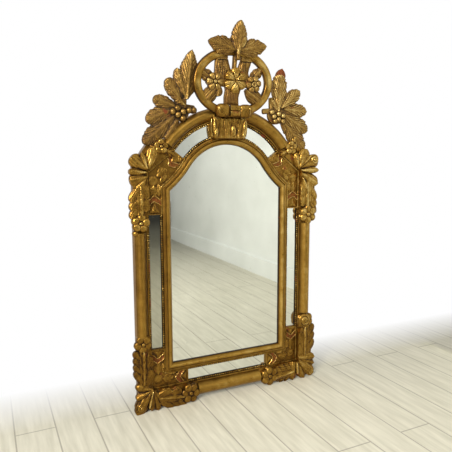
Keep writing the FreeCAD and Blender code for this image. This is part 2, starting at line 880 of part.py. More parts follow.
def grow(shape, x, z, angle, depth):
    """Moves a leaf's foot to (x, z) at a depth and turns it to an angle from +X."""
    shape = shape.copy()
    shape.rotate(VEC(0, 0, 0), VEC(0, 1, 0), 90 - angle)
    shape.translate(VEC(x, -depth, z))
    return shape


def disc(x, z, radius, depth, height):
    return Part.makeCylinder(radius, height, VEC(x, -depth, z), VEC(0, -1, 0))


def ball(x, z, radius, depth):
    return Part.makeSphere(radius, VEC(x, -depth, z))


def flower(x, z, radius, depth, petals=5):
    """Rosette of round petals with a domed eye."""
    thickness = size("carving_thickness").mm
    pieces = [disc(x, z, radius * 0.5, depth, thickness)]
    for i in range(petals):
        angle = math.pi / 2 + 2 * math.pi * i / petals
        petal_x = x + 0.6 * radius * math.cos(angle)
        petal_z = z + 0.6 * radius * math.sin(angle)
        pieces.append(disc(petal_x, petal_z, radius * 0.4, depth, thickness * 1.4))
    eye = radius * 0.34
    pieces.append(ball(x, z, eye, depth + max(thickness, eye + JOINT)))
    return fuse(pieces)


def fuse(pieces):
    return pieces[0].multiFuse(pieces[1:])


def fan(x, z, depth, reach, angles, shares):
    """Shell of round-ended lobes that spread from an eye."""
    width = size("shell_lobe_width").mm
    lobes = [disc(x, z, width * 0.42, depth, size("carving_thickness").mm * 1.5)]
    for angle, share in zip(angles, shares):
        lobe = leaf(reach * share, width, outline=rounded, lobes=0)
        lobes.append(grow(lobe, x, z, angle, depth))
    return fuse(lobes)


def drop_shape(foot, direction, leaf_name, gap):
    """Leaf with a flower at its end, laid along a block."""
    x, z = foot
    length = size(leaf_name + "_leaf_length").mm
    radius = size(leaf_name + "_flower_radius").mm
    body = grow(leaf(length, size(leaf_name + "_leaf_width").mm), x, z, direction, block_front.mm)
    way = math.radians(direction)
    centre_x = x + (length + gap) * math.cos(way)
    centre_z = z + (length + gap) * math.sin(way)
    return fuse([body, flower(centre_x, centre_z, radius, block_front.mm)])


stile_middle = (outer_edge + frame_edge) / 2
shell_clear = size("shell_lobe_width") * 0.8
foot_eye_z = rail_edge + size("foot_eye_rise")


def foot_shell_shape():
    return fan(outer_edge.mm, foot_eye_z.mm, block_front.mm, size("foot_shell_reach").mm,
               (8, -20, -47, -72, -98), (0.72, 0.8, 1.0, 0.86, 0.8))


def shoulder_shell_shape():
    return fan(outer_edge.mm, eye_z.mm, block_front.mm, size("shoulder_shell_reach").mm,
               (118, 92, 62, 34, 6, -22, -50), (0.55, 0.86, 0.96, 1.0, 0.84, 0.84, 0.7))


# Feet of the leaves and middles of the berries from the hub's middle, in hub radii.
SPRAY_LEAVES = [
    ("tall", -0.2, 0.73, 91),
    ("high", 0.27, 0.33, 50),
    ("out", 0.2, -0.13, 14),
    ("low", 0.2, -0.47, -13),
    ("hanging", 0.13, -0.73, -39),
]
SPRAY_BERRIES = [(-0.59, 0.32), (-0.69, -0.16), (-0.37, -0.53), (-0.16, 0.11), (-1.01, 0.05)]


def spray_hub():
    """Middle of a side spray, outside the arch beside the crest ring."""
    angle = math.radians(33.0)
    radius = arch_rim.mm + 1.05 * size("spray_hub_radius").mm
    return radius * math.sin(angle), arch_z.mm + radius * math.cos(angle)


def spray_shape():
    hub_x, hub_z = spray_hub()
    hub = size("spray_hub_radius").mm
    depth = block_front.mm
    pieces = [disc(hub_x, hub_z, hub, depth, size("carving_thickness").mm)]
    for name, dx, dz, angle in SPRAY_LEAVES:
        length = size(f"spray_{name}_length").mm
        width = size(f"spray_{name}_width").mm
        blade = leaf(length, width, lobes=5)
        pieces.append(grow(blade, hub_x + dx * hub, hub_z + dz * hub, angle, depth))
    for dx, dz in SPRAY_BERRIES:
        berry = size("spray_berry_radius").mm
        pieces.append(ball(hub_x + dx * hub, hub_z + dz * hub, berry, depth + berry * 1.15))
    over_arch = disc(0, arch_z.mm, arch_rim.mm + JOINT, 0, size("outer_crown_height").mm - 2)
    return fuse(pieces).cut(over_arch)


crest_back = size("outer_crown_height") + size("crest_stand_off")
crest_z = arch_z + arch_rim - size("crest_overlap")


def place_crest(item):
    """Stands a crest piece on the arch, leaning forward."""
    turn(item, VEC(1, 0, 0), size("crest_lean"))
    move_to(item, y=-crest_back, z=crest_z)
    return item


def crest_seat(label):
    body = new_body(label)
    sketch = sketch_in(body, "YZ_Plane")
    top = arch_z + arch_rim * cosine(keystone_angle) - 1
    lean = Dim(f"tan({size('crest_lean')})")
    draw(sketch, [
        (-block_front, crest_z),
        (-block_front, top),
        (-(crest_back + (top - crest_z) * lean), top),
        (-crest_back, crest_z),
    ])
    pad(body, sketch, size("seat_width"), symmetric=True)
    return body


def keystone_cartouche(label):
    foot = arch_z + inner_arch_edge - size("cartouche_overhang")
    half_top = size("cartouche_top_width") / 2
    half_foot = size("cartouche_foot_width") / 2
    dip = inner_arch_edge - size("cartouche_overhang")
    side_z = arch_z + root(dip * dip - half_foot * half_foot)
    waist_x = (half_top + half_foot) / 2 - size("cartouche_waist")
    top_z = crest_z - size("crest_stand_off")
    waist = Through(waist_x, (side_z + top_z) / 2)
    left_waist = Through(-waist_x, (side_z + top_z) / 2)
    return plate(label, [
        (-half_foot, side_z, Through(ZERO, foot)),
        (half_foot, side_z, waist),
        (half_top, top_z),
        (-half_top, top_z, left_waist),
    ], block_front, block_front + size("cartouche_thickness"))


def add_ellipse(sketch, half_width, half_height, centre_z):
    """Ellipse on the sketch's upright axis, held by its two axes."""
    centre = VEC(0, centre_z.mm, 0)
    curve = Part.Ellipse(centre + VEC(half_width.mm, 0, 0), centre + VEC(0, half_height.mm, 0), centre)
    edge = sketch.addGeometry(curve, False)
    sketch.exposeInternalGeometry(edge)
    pin_point(sketch, edge, 3, ZERO, centre_z)
    sketch.addConstraint(Sketcher.Constraint("Horizontal", edge + 1))
    bind(sketch, "Distance", (edge + 1,), half_width * 2)
    bind(sketch, "Distance", (edge + 2,), half_height * 2)


ring_half_width = size("ring_half_width")
ring_half_height = size("ring_half_height")
ring_band = size("ring_band")


def crest_ring(label):
    body = new_body(label)
    place_crest(body)
    sketch = sketch_in(body, "XZ_Plane")
    add_ellipse(sketch, ring_half_width, ring_half_height, ring_half_height)
    add_ellipse(sketch, ring_half_width - ring_band, ring_half_height - ring_band, ring_half_height)
    solid = pad(body, sketch, size("ring_thickness"))
    doc.recompute()
    front = -size("ring_thickness").mm
    rims = []
    for i, edge in enumerate(solid.Shape.Edges, start=1):
        middle = edge.CenterOfMass
        if abs(middle.y - front) < 0.01:
            rims.append(f"Edge{i}")
    rounds = body.newObject("PartDesign::Fillet", label + "_round")
    rounds.Base = (solid, rims)
    rounds.setExpression("Radius", str(size("ring_round")))
    return body


def ring_opening():
    """Space inside the crest ring, less the joint."""
    half_width = (ring_half_width - ring_band - size("crest_gap")).mm
    half_height = (ring_half_height - ring_band - size("crest_gap")).mm
    centre = VEC(0, 0, ring_half_height.mm)
    curve = Part.Ellipse(centre + VEC(half_width, 0, 0), centre + VEC(0, 0, half_height), centre)
    return Part.Face(Part.Wire(curve.toShape())).extrude(VEC(0, -200, 0))


def box(x_low, x_high, z_low, z_high, depth, height):
    return Part.makeBox(x_high - x_low, height, z_high - z_low, VEC(x_low, -depth - height, z_low))


def prism(points, depth, height):
    """Flat piece from points in the front view."""
    outline = [VEC(x, -depth, z) for x, z in points]
    return face(*outline).extrude(VEC(0, -height, 0))


flower_rise = size("centre_flower_rise")


def trunk_shape():
    """Stem bundle inside the ring with two branches up to its top."""
    thickness = size("trunk_thickness").mm
    half = size("trunk_width").mm / 2
    foot = size("trunk_foot_width").mm / 2
    arm = size("trunk_arm_width").mm / 2
    spread = size("trunk_arm_spread").mm
    middle = flower_rise.mm
    top = 2 * ring_half_height.mm
    stem = prism([(-foot, 0), (foot, 0), (half, middle - half), (half, middle), (-half, middle),
                  (-half, middle - half)], 0, thickness)
    pieces = [stem]
    for side in (-1, 1):
        pieces.append(prism([
            (side * half * 0.4, middle - half),
            (side * spread, middle - half),
            (side * (spread + arm), top),
            (side * (spread - arm), top),
        ], 0, thickness * 0.9))
    return fuse(pieces).common(ring_opening())


def centre_flower_shape():
    return flower(0, flower_rise.mm, size("centre_flower_radius").mm,
                  size("trunk_thickness").mm, petals=6)


def posy_shape():
    """Side flower with a leaf up and a bud down, between the trunk and the ring."""
    middle = ring_half_height.mm
    radius = size("posy_flower_radius").mm
    x = size("posy_flower_spread").mm
    low = middle - radius * 0.17
    up = grow(leaf(size("posy_leaf_length").mm, size("posy_leaf_width").mm), x, middle, 53, 0)
    bud = leaf(size("posy_bud_length").mm, size("posy_bud_width").mm, outline=rounded, lobes=0)
    down = grow(bud, x, low, -61, 0)
    head = flower(x, low, radius, 0)
    tie = box(size("trunk_width").mm * 0.3, x, middle - radius * 0.4, middle + radius * 0.25, 0,
              size("carving_thickness").mm)
    shape = fuse([head, up, down, tie]).common(ring_opening())
    return shape.cut(trunk_shape()).cut(centre_flower_shape())


def finial_shape():
    """Three leaves on a stem, in front of the ring's top."""
    depth = size("ring_thickness").mm
    foot = 2 * ring_half_height.mm - ring_band.mm * 0.9
    half = size("finial_stem_width").mm / 2
    top = leaf(size("finial_top_length").mm, size("finial_top_width").mm, lobes=5)
    side = leaf(size("finial_side_length").mm, size("finial_side_width").mm, lobes=4)
    stem_foot = flower_rise.mm + size("centre_flower_radius").mm
    pieces = [
        box(-half, half, stem_foot, foot + half, depth, size("carving_thickness").mm),
        grow(top, 0, foot, 90, depth),
        grow(side, half, foot, 18, depth),
        grow(side, -half, foot, 162, depth),
    ]
    return fuse(pieces)


def ribbon_shape():
    """Bow on the foot of the ring."""
    depth = size("ring_thickness").mm
    half = size("ribbon_width").mm / 2
    height = size("ribbon_height").mm
    thickness = size("ribbon_thickness").mm
    middle = size("ribbon_rise").mm
    loop = leaf(half, height, outline=rounded, lobes=0, thickness=thickness * 0.5, ridge=thickness * 0.5)
    pieces = [
        grow(loop, 0, middle, 6, depth),
        grow(loop, 0, middle, 174, depth),
        box(-height * 0.3, height * 0.3, middle - height * 0.4, middle + height * 0.4, depth, thickness),
    ]
    return fuse(pieces)


def nail_shape(x, z):
    back = size("board_recess").mm
    head = disc(x, z, size("nail_head_radius").mm, back - size("nail_head_height").mm,
                size("nail_head_height").mm)
    shank = disc(x, z, size("nail_radius").mm, back, size("nail_length").mm)
    return head.fuse(shank)


def board_nails_shape():
    """Nails through the boards into the tongue of the inner moulding and the panels."""
    tongue = (sight_half + inner_width / 2).mm
    low = (sight_bottom - inner_width / 2).mm
    span = (shoulder - sight_bottom).mm
    spots = []
    for side in (-1, 1):
        for share in (0.1, 0.5, 0.9):
            spots.append((side * tongue, sight_bottom.mm + span * share))
        spots.append((side * sight_half.mm * 0.6, low))
    crown = (arch_radius + inner_width / 2).mm
    for angle in (-25, 25):
        way = math.radians(angle)
        spots.append((crown * math.sin(way), arch_z.mm + crown * math.cos(way)))
    return Part.makeCompound([nail_shape(x, z) for x, z in spots])


hanger_x = stile_middle + rebate_width / 2
hanger_z = shoulder + 10
eye_radius = size("hanger_wire_radius") + size("hanger_fit") + size("hanger_plate_thickness")
hanger_axis = eye_radius + size("hanger_eye_lift")
SCREW_SHARES = (0.66, 0.88)


def hanger_plate(label):
    body = new_body(label, x=hanger_x, z=hanger_z)
    half = size("hanger_plate_width") / 2
    length = size("hanger_plate_length")
    thickness = size("hanger_plate_thickness")
    sketch = sketch_in(body, "XZ_Plane")
    draw(sketch, [
        (-half, -length, Bend(half * 1.4, 1)),
        (half, -length),
        (half * 0.6, ZERO),
        (-half * 0.6, ZERO),
    ])
    leaf_pad = pad(body, sketch, thickness)
    leaf_pad.Reversed = True
    eye = sketch_in(body, "YZ_Plane")
    ring = eye.addGeometry(Part.Circle(VEC(hanger_axis.mm, 0, 0), VEC(0, 0, 1), eye_radius.mm), False)
    pin_point(eye, ring, 3, hanger_axis, ZERO)
    bind(eye, "Radius", (ring,), eye_radius)
    pad(body, eye, half * 1.2, symmetric=True)
    holes = sketch_in(body, "XZ_Plane")
    for share in SCREW_SHARES:
        hole = holes.addGeometry(Part.Circle(VEC(0, -length.mm * share, 0), VEC(0, 0, 1), 1), False)
        pin_point(holes, hole, 3, ZERO, -(length * share))
        bind(holes, "Radius", (hole,), size("hanger_screw_radius") + size("hanger_fit") * 2)
    pocket_through(body, holes)
    bore = sketch_in(body, "YZ_Plane")
    bore_radius = size("hanger_wire_radius") + size("hanger_fit")
    hole = bore.addGeometry(Part.Circle(VEC(hanger_axis.mm, 0, 0), VEC(0, 0, 1), 1), False)
    pin_point(bore, hole, 3, hanger_axis, ZERO)
    bind(bore, "Radius", (hole,), bore_radius)
    pocket_through(body, bore)
    return body


def hanger_ring(label):
    """Closed wire: a straight bar in the eye and a round bow below it."""
    body = new_body(label, x=hanger_x, y=hanger_axis, z=hanger_z)
    half = size("hanger_bar_width") / 2
    low = size("hanger_ring_drop")
    corner = size("hanger_wire_radius") * 2
    path = sketch_in(body, "XZ_Plane")
    draw(path, [
        (-(half - corner), ZERO),
        (half - corner, ZERO, Bend(corner, -1)),
        (half, -corner),
        (half, -(low - half), Bend(half, -1)),
        (ZERO, -low, Bend(half, -1)),
        (-half, -(low - half)),
        (-half, -corner, Bend(corner, -1)),
    ])
    profile = sketch_in(body, "YZ_Plane")
    wire = profile.addGeometry(Part.Circle(VEC(0, 0, 0), VEC(0, 0, 1), 1), False)
    profile.addConstraint(Sketcher.Constraint("Coincident", wire, 3, -1, 1))
    bind(profile, "Radius", (wire,), size("hanger_wire_radius"))
    pipe = body.newObject("PartDesign::AdditivePipe", body.Name + "_pipe")
    pipe.Profile = profile
    pipe.Spine = (path, [f"Edge{i}" for i in range(1, 8)])
    return body


def hanger_screws_shape():
    head = size("hanger_screw_head").mm
    seat = size("hanger_plate_thickness").mm
    length = size("hanger_plate_length").mm
    screws = []
    for side in (-1, 1):
        for share in SCREW_SHARES:
            x = side * hanger_x.mm
            z = hanger_z.mm - length * share
            shank = disc(x, z, size("hanger_screw_radius").mm, -seat, size("hanger_screw_length").mm)
            sphere = ball(x, z, head * 1.4, head - seat)
            lens = sphere.common(disc(x, z, head, -seat - head, head))
            screws.append(shank.fuse(lens))
    return Part.makeCompound(screws)


pair(outer_stile, "outer_stile")
outer_rail("outer_rail")
pair(outer_arch, "outer_arch")
pair(foot_block, "foot_block")
pair(shoulder_block, "shoulder_block")
keystone_block("keystone_block")
pair(foot_panel, "foot_panel")
pair(shoulder_panel, "shoulder_panel")
pair(inner_stile, "inner_stile")
inner_rail("inner_rail")
inner_arch("inner_arch")
centre_glass("centre_glass")
pair(side_glass, "side_glass")
base_glass("base_glass")
pair(arch_glass, "arch_glass")
pair(side_beads, "bead_strips_side")
base_beads("bead_strips_base")
pair(arch_beads, "bead_strips_arch")
pair(back_board, "back_board")
carved("board_nails", board_nails_shape())

keystone_cartouche("keystone_cartouche")
crest_seat("crest_seat")
crest_ring("crest_ring")
place_crest(carved("crest_ribbon", ribbon_shape()))
place_crest(carved("crest_trunk", trunk_shape()))
place_crest(carved("crest_flower", centre_flower_shape()))
posy = place_crest(carved("crest_posy_right", posy_shape()))
mirrored(posy, "crest_posy_left")
place_crest(carved("crest_finial", finial_shape()))

spray = spray_shape()
mirrored(carved("crest_spray_right", spray), "crest_spray_left")
arch_flower_x, arch_flower_z = on_arch(arch_rim - size("arch_flower_radius") * 0.4, arch_end + 5)
arch_flower = flower(arch_flower_x.mm, arch_flower_z.mm, size("arch_flower_radius").mm, block_front.mm)
arch_flower = arch_flower.cut(spray)
mirrored(carved("arch_flower_right", arch_flower), "arch_flower_left")
doc.recompute()
arch_half = parts["outer_arch_right"].Shape
shoulder_shell = shoulder_shell_shape().cut(arch_half).cut(spray).cut(arch_flower)
mirrored(carved("shoulder_shell_right", shoulder_shell), "shoulder_shell_left")
foot_shell = foot_shell_shape()
mirrored(carved("foot_shell_right", foot_shell), "foot_shell_left")

foot_drop = drop_shape((stile_middle.mm, (foot_eye_z + shell_clear).mm), 90, "foot", size("drop_gap").mm)
mirrored(carved("foot_drop_right", foot_drop.cut(foot_shell)), "foot_drop_left")
rail_drop_foot = ((outer_edge - shell_clear).mm, -size("rail_carving_drop").mm)
rail_drop = drop_shape(rail_drop_foot, 180, "rail", size("rail_drop_gap").mm)
mirrored(carved("rail_drop_right", rail_drop.cut(foot_shell)), "rail_drop_left")
drop_top = (eye_z - size("shoulder_shell_reach") * 0.62).mm
shoulder_drop = drop_shape((stile_middle.mm, drop_top), -90, "shoulder", size("drop_gap").mm)
mirrored(carved("shoulder_drop_right", shoulder_drop.cut(shoulder_shell)), "shoulder_drop_left")

pair(hanger_plate, "hanger_plate")
pair(hanger_ring, "hanger_ring")
carved("hanger_screws", hanger_screws_shape())

doc.recompute()

faults = []
for item in doc.Objects:
    if "Invalid" in item.State or "Error" in item.State:
        faults.append(f"{item.Label}: {item.State}")
for label, item in parts.items():
    shape = item.Shape
    if shape.isNull() or not shape.isValid() or not shape.Solids:
        faults.append(f"{label}: no valid solid")
if faults:
    raise RuntimeError("; ".join(faults))

os.makedirs("parts", exist_ok=True)
for label, item in parts.items():
    item.Shape.exportStep(os.path.join("parts", label + ".step"))
    box_of = item.Shape.BoundBox
    print(f"{label}: {len(item.Shape.Solids)} solid, {item.Shape.Volume:.0f} mm3, "
          f"x {box_of.XMin:.1f}..{box_of.XMax:.1f}, y {box_of.YMin:.1f}..{box_of.YMax:.1f}, "
          f"z {box_of.ZMin:.1f}..{box_of.ZMax:.1f}")
print(len(parts), "parts")
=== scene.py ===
from math import atan2, cos, degrees, hypot, pi, radians, sin, sqrt

import bmesh
import bpy
import numpy as np
from mathutils import Matrix, Vector


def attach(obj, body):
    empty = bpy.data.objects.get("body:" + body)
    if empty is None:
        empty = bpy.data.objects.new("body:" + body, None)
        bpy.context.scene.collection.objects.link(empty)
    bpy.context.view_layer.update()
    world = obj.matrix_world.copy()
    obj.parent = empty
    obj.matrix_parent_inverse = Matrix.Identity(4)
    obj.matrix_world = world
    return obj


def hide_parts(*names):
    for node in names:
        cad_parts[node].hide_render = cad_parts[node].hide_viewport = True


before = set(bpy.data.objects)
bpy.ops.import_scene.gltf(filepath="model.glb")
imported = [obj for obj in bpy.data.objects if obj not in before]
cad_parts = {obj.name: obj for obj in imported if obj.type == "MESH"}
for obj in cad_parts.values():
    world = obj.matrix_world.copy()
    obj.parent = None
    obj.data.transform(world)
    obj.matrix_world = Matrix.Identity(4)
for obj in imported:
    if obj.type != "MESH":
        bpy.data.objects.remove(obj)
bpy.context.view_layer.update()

# Looks of the framed mirror.  Lengths are millimetres in the row frame: x to the right, z up, depth v
# in front of the wall plane.  Meshes, the stage and the camera are in metres.

MM = 0.001
SIDES = ((1, "right"), (-1, "left"))
rng = np.random.default_rng(41)

# Opening of the centre plate
SIGHT_X = 202.0
SIGHT_LOW = 94.0
SHOULDER = 659.0
ARCH_Z = 645.0
ARCH_R = 160.0
FLARE_R = 350.0

# Places and widths of the mouldings
INNER_W = 27.0
OUTER_X = 279.0
OUTER_W = 44.0
OUTER_R = 237.0
STILE_LOW = 200.0
STILE_LENGTH = 332.0
RAIL_TOP = 17.0
RAIL_W = 47.0
RAIL_HALF = 119.0
KEYSTONE = radians(13.0)

# Ends of the marginal plates, where the sunk panels begin
BASE_HALF = 150.0
FOOT_TOP = 149.0
SHOULDER_LOW = 585.0

# Depths at which pieces start
REBATE_V = 13.0
PANEL_V = 9.0
CHEEK_V = 13.5
BLOCK_V = 26.0
CREST_FRONT_V = 16.0

# Bead strips
BEAD_W = 7.0
BEAD_V = 16.6
BEAD_R = 3.1
BEAD_SPACING = 7.4
BEAD_RINGS = 4
BEAD_SECTORS = 10

# Limits of the corner carvings
DROP_X = 276.5
FLOOR_CUT = -49.3

# Leaning frame of the crest
CREST_LEAN = radians(6.0)
CREST_V = 44.0
CREST_Z = 891.0


def flare_centre():
    """Centre of the curve that touches the arch and ends in the shoulder corner."""
    dx, dz = SIGHT_X, SHOULDER - ARCH_Z
    gap = hypot(dx, dz)
    along = ((ARCH_R + FLARE_R) ** 2 - FLARE_R ** 2 + gap ** 2) / (2 * gap)
    across = sqrt((ARCH_R + FLARE_R) ** 2 - along ** 2)
    ex, ez = dx / gap, dz / gap
    return along * ex - across * ez, ARCH_Z + along * ez + across * ex


FLARE_X, FLARE_Z = flare_centre()
TOUCH = atan2(FLARE_X, FLARE_Z - ARCH_Z)
ARCH_END = TOUCH - radians(2.5)


# Materials

GOLD = [
    (0.0, (0.015, 0.008, 0.004)), (0.22, (0.050, 0.025, 0.009)), (0.46, (0.168, 0.082, 0.013)),
    (0.70, (0.305, 0.172, 0.031)), (1.0, (0.640, 0.450, 0.150)),
]
BOLE = [(0.3, (0.075, 0.017, 0.006)), (0.7, (0.250, 0.062, 0.020))]
BARE_WOOD = [(0.3, (0.085, 0.046, 0.022)), (0.6, (0.180, 0.108, 0.054)), (0.8, (0.250, 0.160, 0.085))]
DUST = (0.17, 0.115, 0.062)
PINE = [(0.25, (0.085, 0.042, 0.018)), (0.55, (0.190, 0.108, 0.052)), (0.80, (0.270, 0.165, 0.085))]
PINE_STREAK = (0.115, 0.066, 0.034)
PINE_DIRT = (0.050, 0.034, 0.022)
GLASS_SPECK = (0.20, 0.19, 0.16)


class Graph:
    """Short way to add and join the shader nodes of a material or world."""

    def __init__(self, owner):
        self.owner = owner
        owner.use_nodes = True
        self.tree = owner.node_tree
        self.tree.nodes.clear()

    def add(self, kind, values=None, **settings):
        node = self.tree.nodes.new("ShaderNode" + kind)
        for key, value in settings.items():
            setattr(node, key, value)
        for socket, value in (values or {}).items():
            self.put(node.inputs[socket], value)
        return node

    def put(self, socket, value):
        if isinstance(value, bpy.types.NodeSocket):
            self.tree.links.new(value, socket)
        elif socket.type == "RGBA":
            socket.default_value = (*value, 1.0)
        else:
            socket.default_value = value

    def noise(self, vector, scale, detail, rough=0.55):
        values = {"Vector": vector, "Scale": scale, "Detail": detail, "Roughness": rough}
        return self.add("TexNoise", values).outputs["Fac"]

    def math(self, operation, a, b, clamp=False):
        return self.add("Math", {0: a, 1: b}, operation=operation, use_clamp=clamp).outputs[0]

    def plus(self, a, b):
        return self.math("ADD", a, b)

    def times(self, a, b):
        return self.math("MULTIPLY", a, b)

    def band(self, value, low, high, to_low=0.0, to_high=1.0):
        values = {"Value": value, "From Min": low, "From Max": high, "To Min": to_low, "To Max": to_high}
        return self.add("MapRange", values, clamp=True).outputs["Result"]

    def spread(self, noise, to_low, to_high):
        """Maps the range that a noise mostly keeps to."""
        return self.band(noise, 0.3, 0.7, to_low, to_high)

    def ramp(self, value, stops):
        node = self.add("ValToRGB", {"Fac": value})
        ramp = node.color_ramp
        while len(ramp.elements) < len(stops):
            ramp.elements.new(0.5)
        for element, (place, colour) in zip(ramp.elements, stops):
            element.position = place
            element.color = (*colour, 1.0)
        return node.outputs["Color"]

    def mix(self, factor, a, b):
        return self.add("Mix", {"Factor": factor, 6: a, 7: b}, data_type="RGBA").outputs[2]

    def stretch(self, vector, factors):
        return self.add("Mapping", {"Vector": vector, "Scale": factors}).outputs["Vector"]

    def split(self, vector):
        return self.add("SeparateXYZ", {0: vector}).outputs

    def bump(self, height, strength, distance):
        values = {"Height": height, "Strength": strength, "Distance": distance}
        return self.add("Bump", values).outputs["Normal"]

    def attribute(self, name):
        return self.add("Attribute", attribute_name=name).outputs["Fac"]

    def surface(self, colour, roughness, normal, metallic=0.0, specular=0.5):
        shader = self.add("BsdfPrincipled", {
            "Base Color": colour, "Roughness": roughness, "Metallic": metallic,
            "Specular IOR Level": specular, "Normal": normal})
        self.add("OutputMaterial", {"Surface": shader.outputs["BSDF"]})
        return self.owner


def new_material(name):
    """Graph of a new material, and its object coordinates."""
    g = Graph(bpy.data.materials.new(name))
    return g, g.add("TexCoord").outputs["Object"]


def gilt_material(name, shift=0.0, bole_low=0.64, bole_high=0.70, patch=1.0, bump=0.24,
                  polish=(0.25, 0.40), painted_top_light=0.05, dust=0.0):
    """Worn water gilding: painted shade and patina in the hollows and painted highlights on the ridges
    (both from the relief tone), red ground where the leaf is gone.

    Faces that look to the wall are bare wood.
    """
    g, at = new_material(name)
    relief = g.attribute("relief")
    large = g.noise(at, 11.0, 3.0)
    middle = g.noise(at, 55.0, 5.0)
    fine = g.noise(at, 420.0, 3.0, 0.7)
    place = g.split(at)
    tone = g.plus(g.times(relief, 0.5), 0.5 + shift)
    # Painted light: the right side and the higher parts are toned lighter
    tone = g.plus(tone, g.band(place["X"], -0.33, 0.33, -0.06, 0.06))
    tone = g.plus(tone, g.band(place["Z"], 0.0, 0.9, -painted_top_light, painted_top_light))
    for noise, amount in ((large, 0.10 * patch), (middle, 0.11 * patch), (fine, 0.06 * patch)):
        tone = g.plus(tone, g.spread(noise, -amount, amount))
    gold = g.mix(g.band(large, 0.2, 0.8, 0.6 * dust, 1.4 * dust), g.ramp(tone, GOLD), DUST)
    worn = g.band(g.noise(at, 24.0, 6.0, 0.62), bole_low, bole_high)
    flecks = g.band(g.noise(at, 210.0, 2.0), 0.70, 0.74, 0.0, 0.8)
    bare = g.math("MAXIMUM", worn, flecks)
    bare = g.math("MAXIMUM", bare, g.times(g.attribute("bole"), 0.9), clamp=True)
    facing = g.split(g.add("NewGeometry").outputs["True Normal"])
    rear = g.band(facing["Y"], 0.75, 0.92)
    grain = g.noise(g.stretch(at, (70.0, 20.0, 4.0)), 2.5, 5.0, 0.6)
    colour = g.mix(bare, gold, g.ramp(fine, BOLE))
    colour = g.mix(rear, colour, g.ramp(grain, BARE_WOOD))
    rough = g.plus(g.spread(middle, *polish), g.times(bare, 0.25))
    rough = g.math("SUBTRACT", rough, g.times(relief, 0.10), clamp=True)
    rough = g.math("MAXIMUM", rough, g.times(rear, 0.78))
    metal = g.math("SUBTRACT", 0.86, g.times(bare, 0.6))
    metal = g.times(metal, g.math("SUBTRACT", 1.0, rear))
    height = g.plus(g.times(middle, 0.6), g.times(fine, 0.4))
    return g.surface(colour, rough, g.bump(height, bump, 0.0012), metal, 0.12)


def mirror_material(name, dark, light):
    """Old silvered glass, a little grey, with a few specks and a faint wave."""
    g, at = new_material(name)
    cloud = g.noise(at, 5.0, 3.0)
    specks = g.band(g.noise(at, 130.0, 2.0), 0.72, 0.80)
    colour = g.mix(g.times(specks, 0.5), g.ramp(cloud, [(0.3, dark), (0.7, light)]), GLASS_SPECK)
    rough = g.plus(g.spread(cloud, 0.015, 0.035), g.times(specks, 0.3))
    return g.surface(colour, rough, g.bump(g.noise(at, 7.0, 1.0), 0.02, 0.004), 1.0)


def pine_material():
    """Unplaned old boards, grain upright."""
    g, at = new_material("old_pine")
    grain = g.noise(g.stretch(at, (60.0, 60.0, 2.2)), 3.0, 6.0, 0.6)
    broad = g.noise(g.stretch(at, (9.0, 9.0, 0.8)), 2.0, 3.0)
    dirt = g.noise(at, 14.0, 5.0)
    colour = g.mix(g.band(broad, 0.35, 0.7, 0.0, 0.55), g.ramp(grain, PINE), PINE_STREAK)
    colour = g.mix(g.band(dirt, 0.55, 0.75, 0.0, 0.6), colour, PINE_DIRT)
    return g.surface(colour, g.spread(dirt, 0.68, 0.88), g.bump(grain, 0.5, 0.0010))


def metal_material(name, dark, light, metallic):
    """Tarnished metal with fine scratches."""
    g, at = new_material(name)
    cloud = g.noise(at, 90.0, 5.0)
    scratch = g.noise(g.stretch(at, (40.0, 40.0, 400.0)), 6.0, 2.0)
    mottle = g.plus(g.times(cloud, 0.7), g.times(scratch, 0.3))
    colour = g.ramp(mottle, [(0.35, dark), (0.65, light)])
    return g.surface(colour, g.spread(cloud, 0.30, 0.58), g.bump(cloud, 0.25, 0.0006), metallic)


gilt = gilt_material("gilding")
gilt_matt = gilt_material("gilding_crest", -0.03, polish=(0.38, 0.54), dust=0.22)
gilt_plain = gilt_material("gilding_mouldings", 0.10, 0.68, 0.74, 0.6, 0.14, (0.28, 0.40), 0.0)
gilt_dark = gilt_material("gilding_beads", -0.10, 0.60, 0.68)
mirror = mirror_material("old_mirror", (0.74, 0.76, 0.73), (0.84, 0.86, 0.84))
mirror_dim = mirror_material("dim_mirror", (0.40, 0.40, 0.34), (0.50, 0.50, 0.44))
pine = pine_material()
brass = metal_material("brass", (0.16, 0.095, 0.03), (0.42, 0.29, 0.11), 0.9)
iron = metal_material("iron", (0.045, 0.036, 0.030), (0.16, 0.13, 0.11), 0.8)


# Meshes

def on_wall(x, v, z):
    return x, -v, z


def on_crest(x, v, z):
    """Crest frame: x across, v in front of its back plane, z up along the leaning crest."""
    y = -CREST_V - v * cos(CREST_LEAN) - z * sin(CREST_LEAN)
    return x, y, CREST_Z - v * sin(CREST_LEAN) + z * cos(CREST_LEAN)


def add_object(name, data):
    item = bpy.data.objects.new(name, data)
    bpy.context.scene.collection.objects.link(item)
    return item


def make_object(name, corners, faces, material, nodes, relief, bole=None, angle=48.0):
    """Gilded piece that rides on the frame and stands for CAD nodes."""
    mesh = bpy.data.meshes.new(name)
    mesh.from_pydata((np.asarray(corners, float) * MM).tolist(), [], faces)
    mesh.validate()
    for label, values in (("relief", relief), ("bole", bole)):
        if values is not None:
            layer = mesh.attributes.new(label, "FLOAT", "POINT")
            layer.data.foreach_set("value", np.asarray(values, np.float32))
    mesh.materials.append(material)
    mesh.shade_smooth()
    mesh.set_sharp_from_angle(angle=radians(angle))
    item = add_object(name, mesh)
    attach(item, "frame")
    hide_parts(*nodes)
    return item


def turn_outward(item):
    """Makes all faces of a mesh of closed shells point outward."""
    work = bmesh.new()
    work.from_mesh(item.data)
    bmesh.ops.recalc_face_normals(work, faces=work.faces)
    work.to_mesh(item.data)
    work.free()


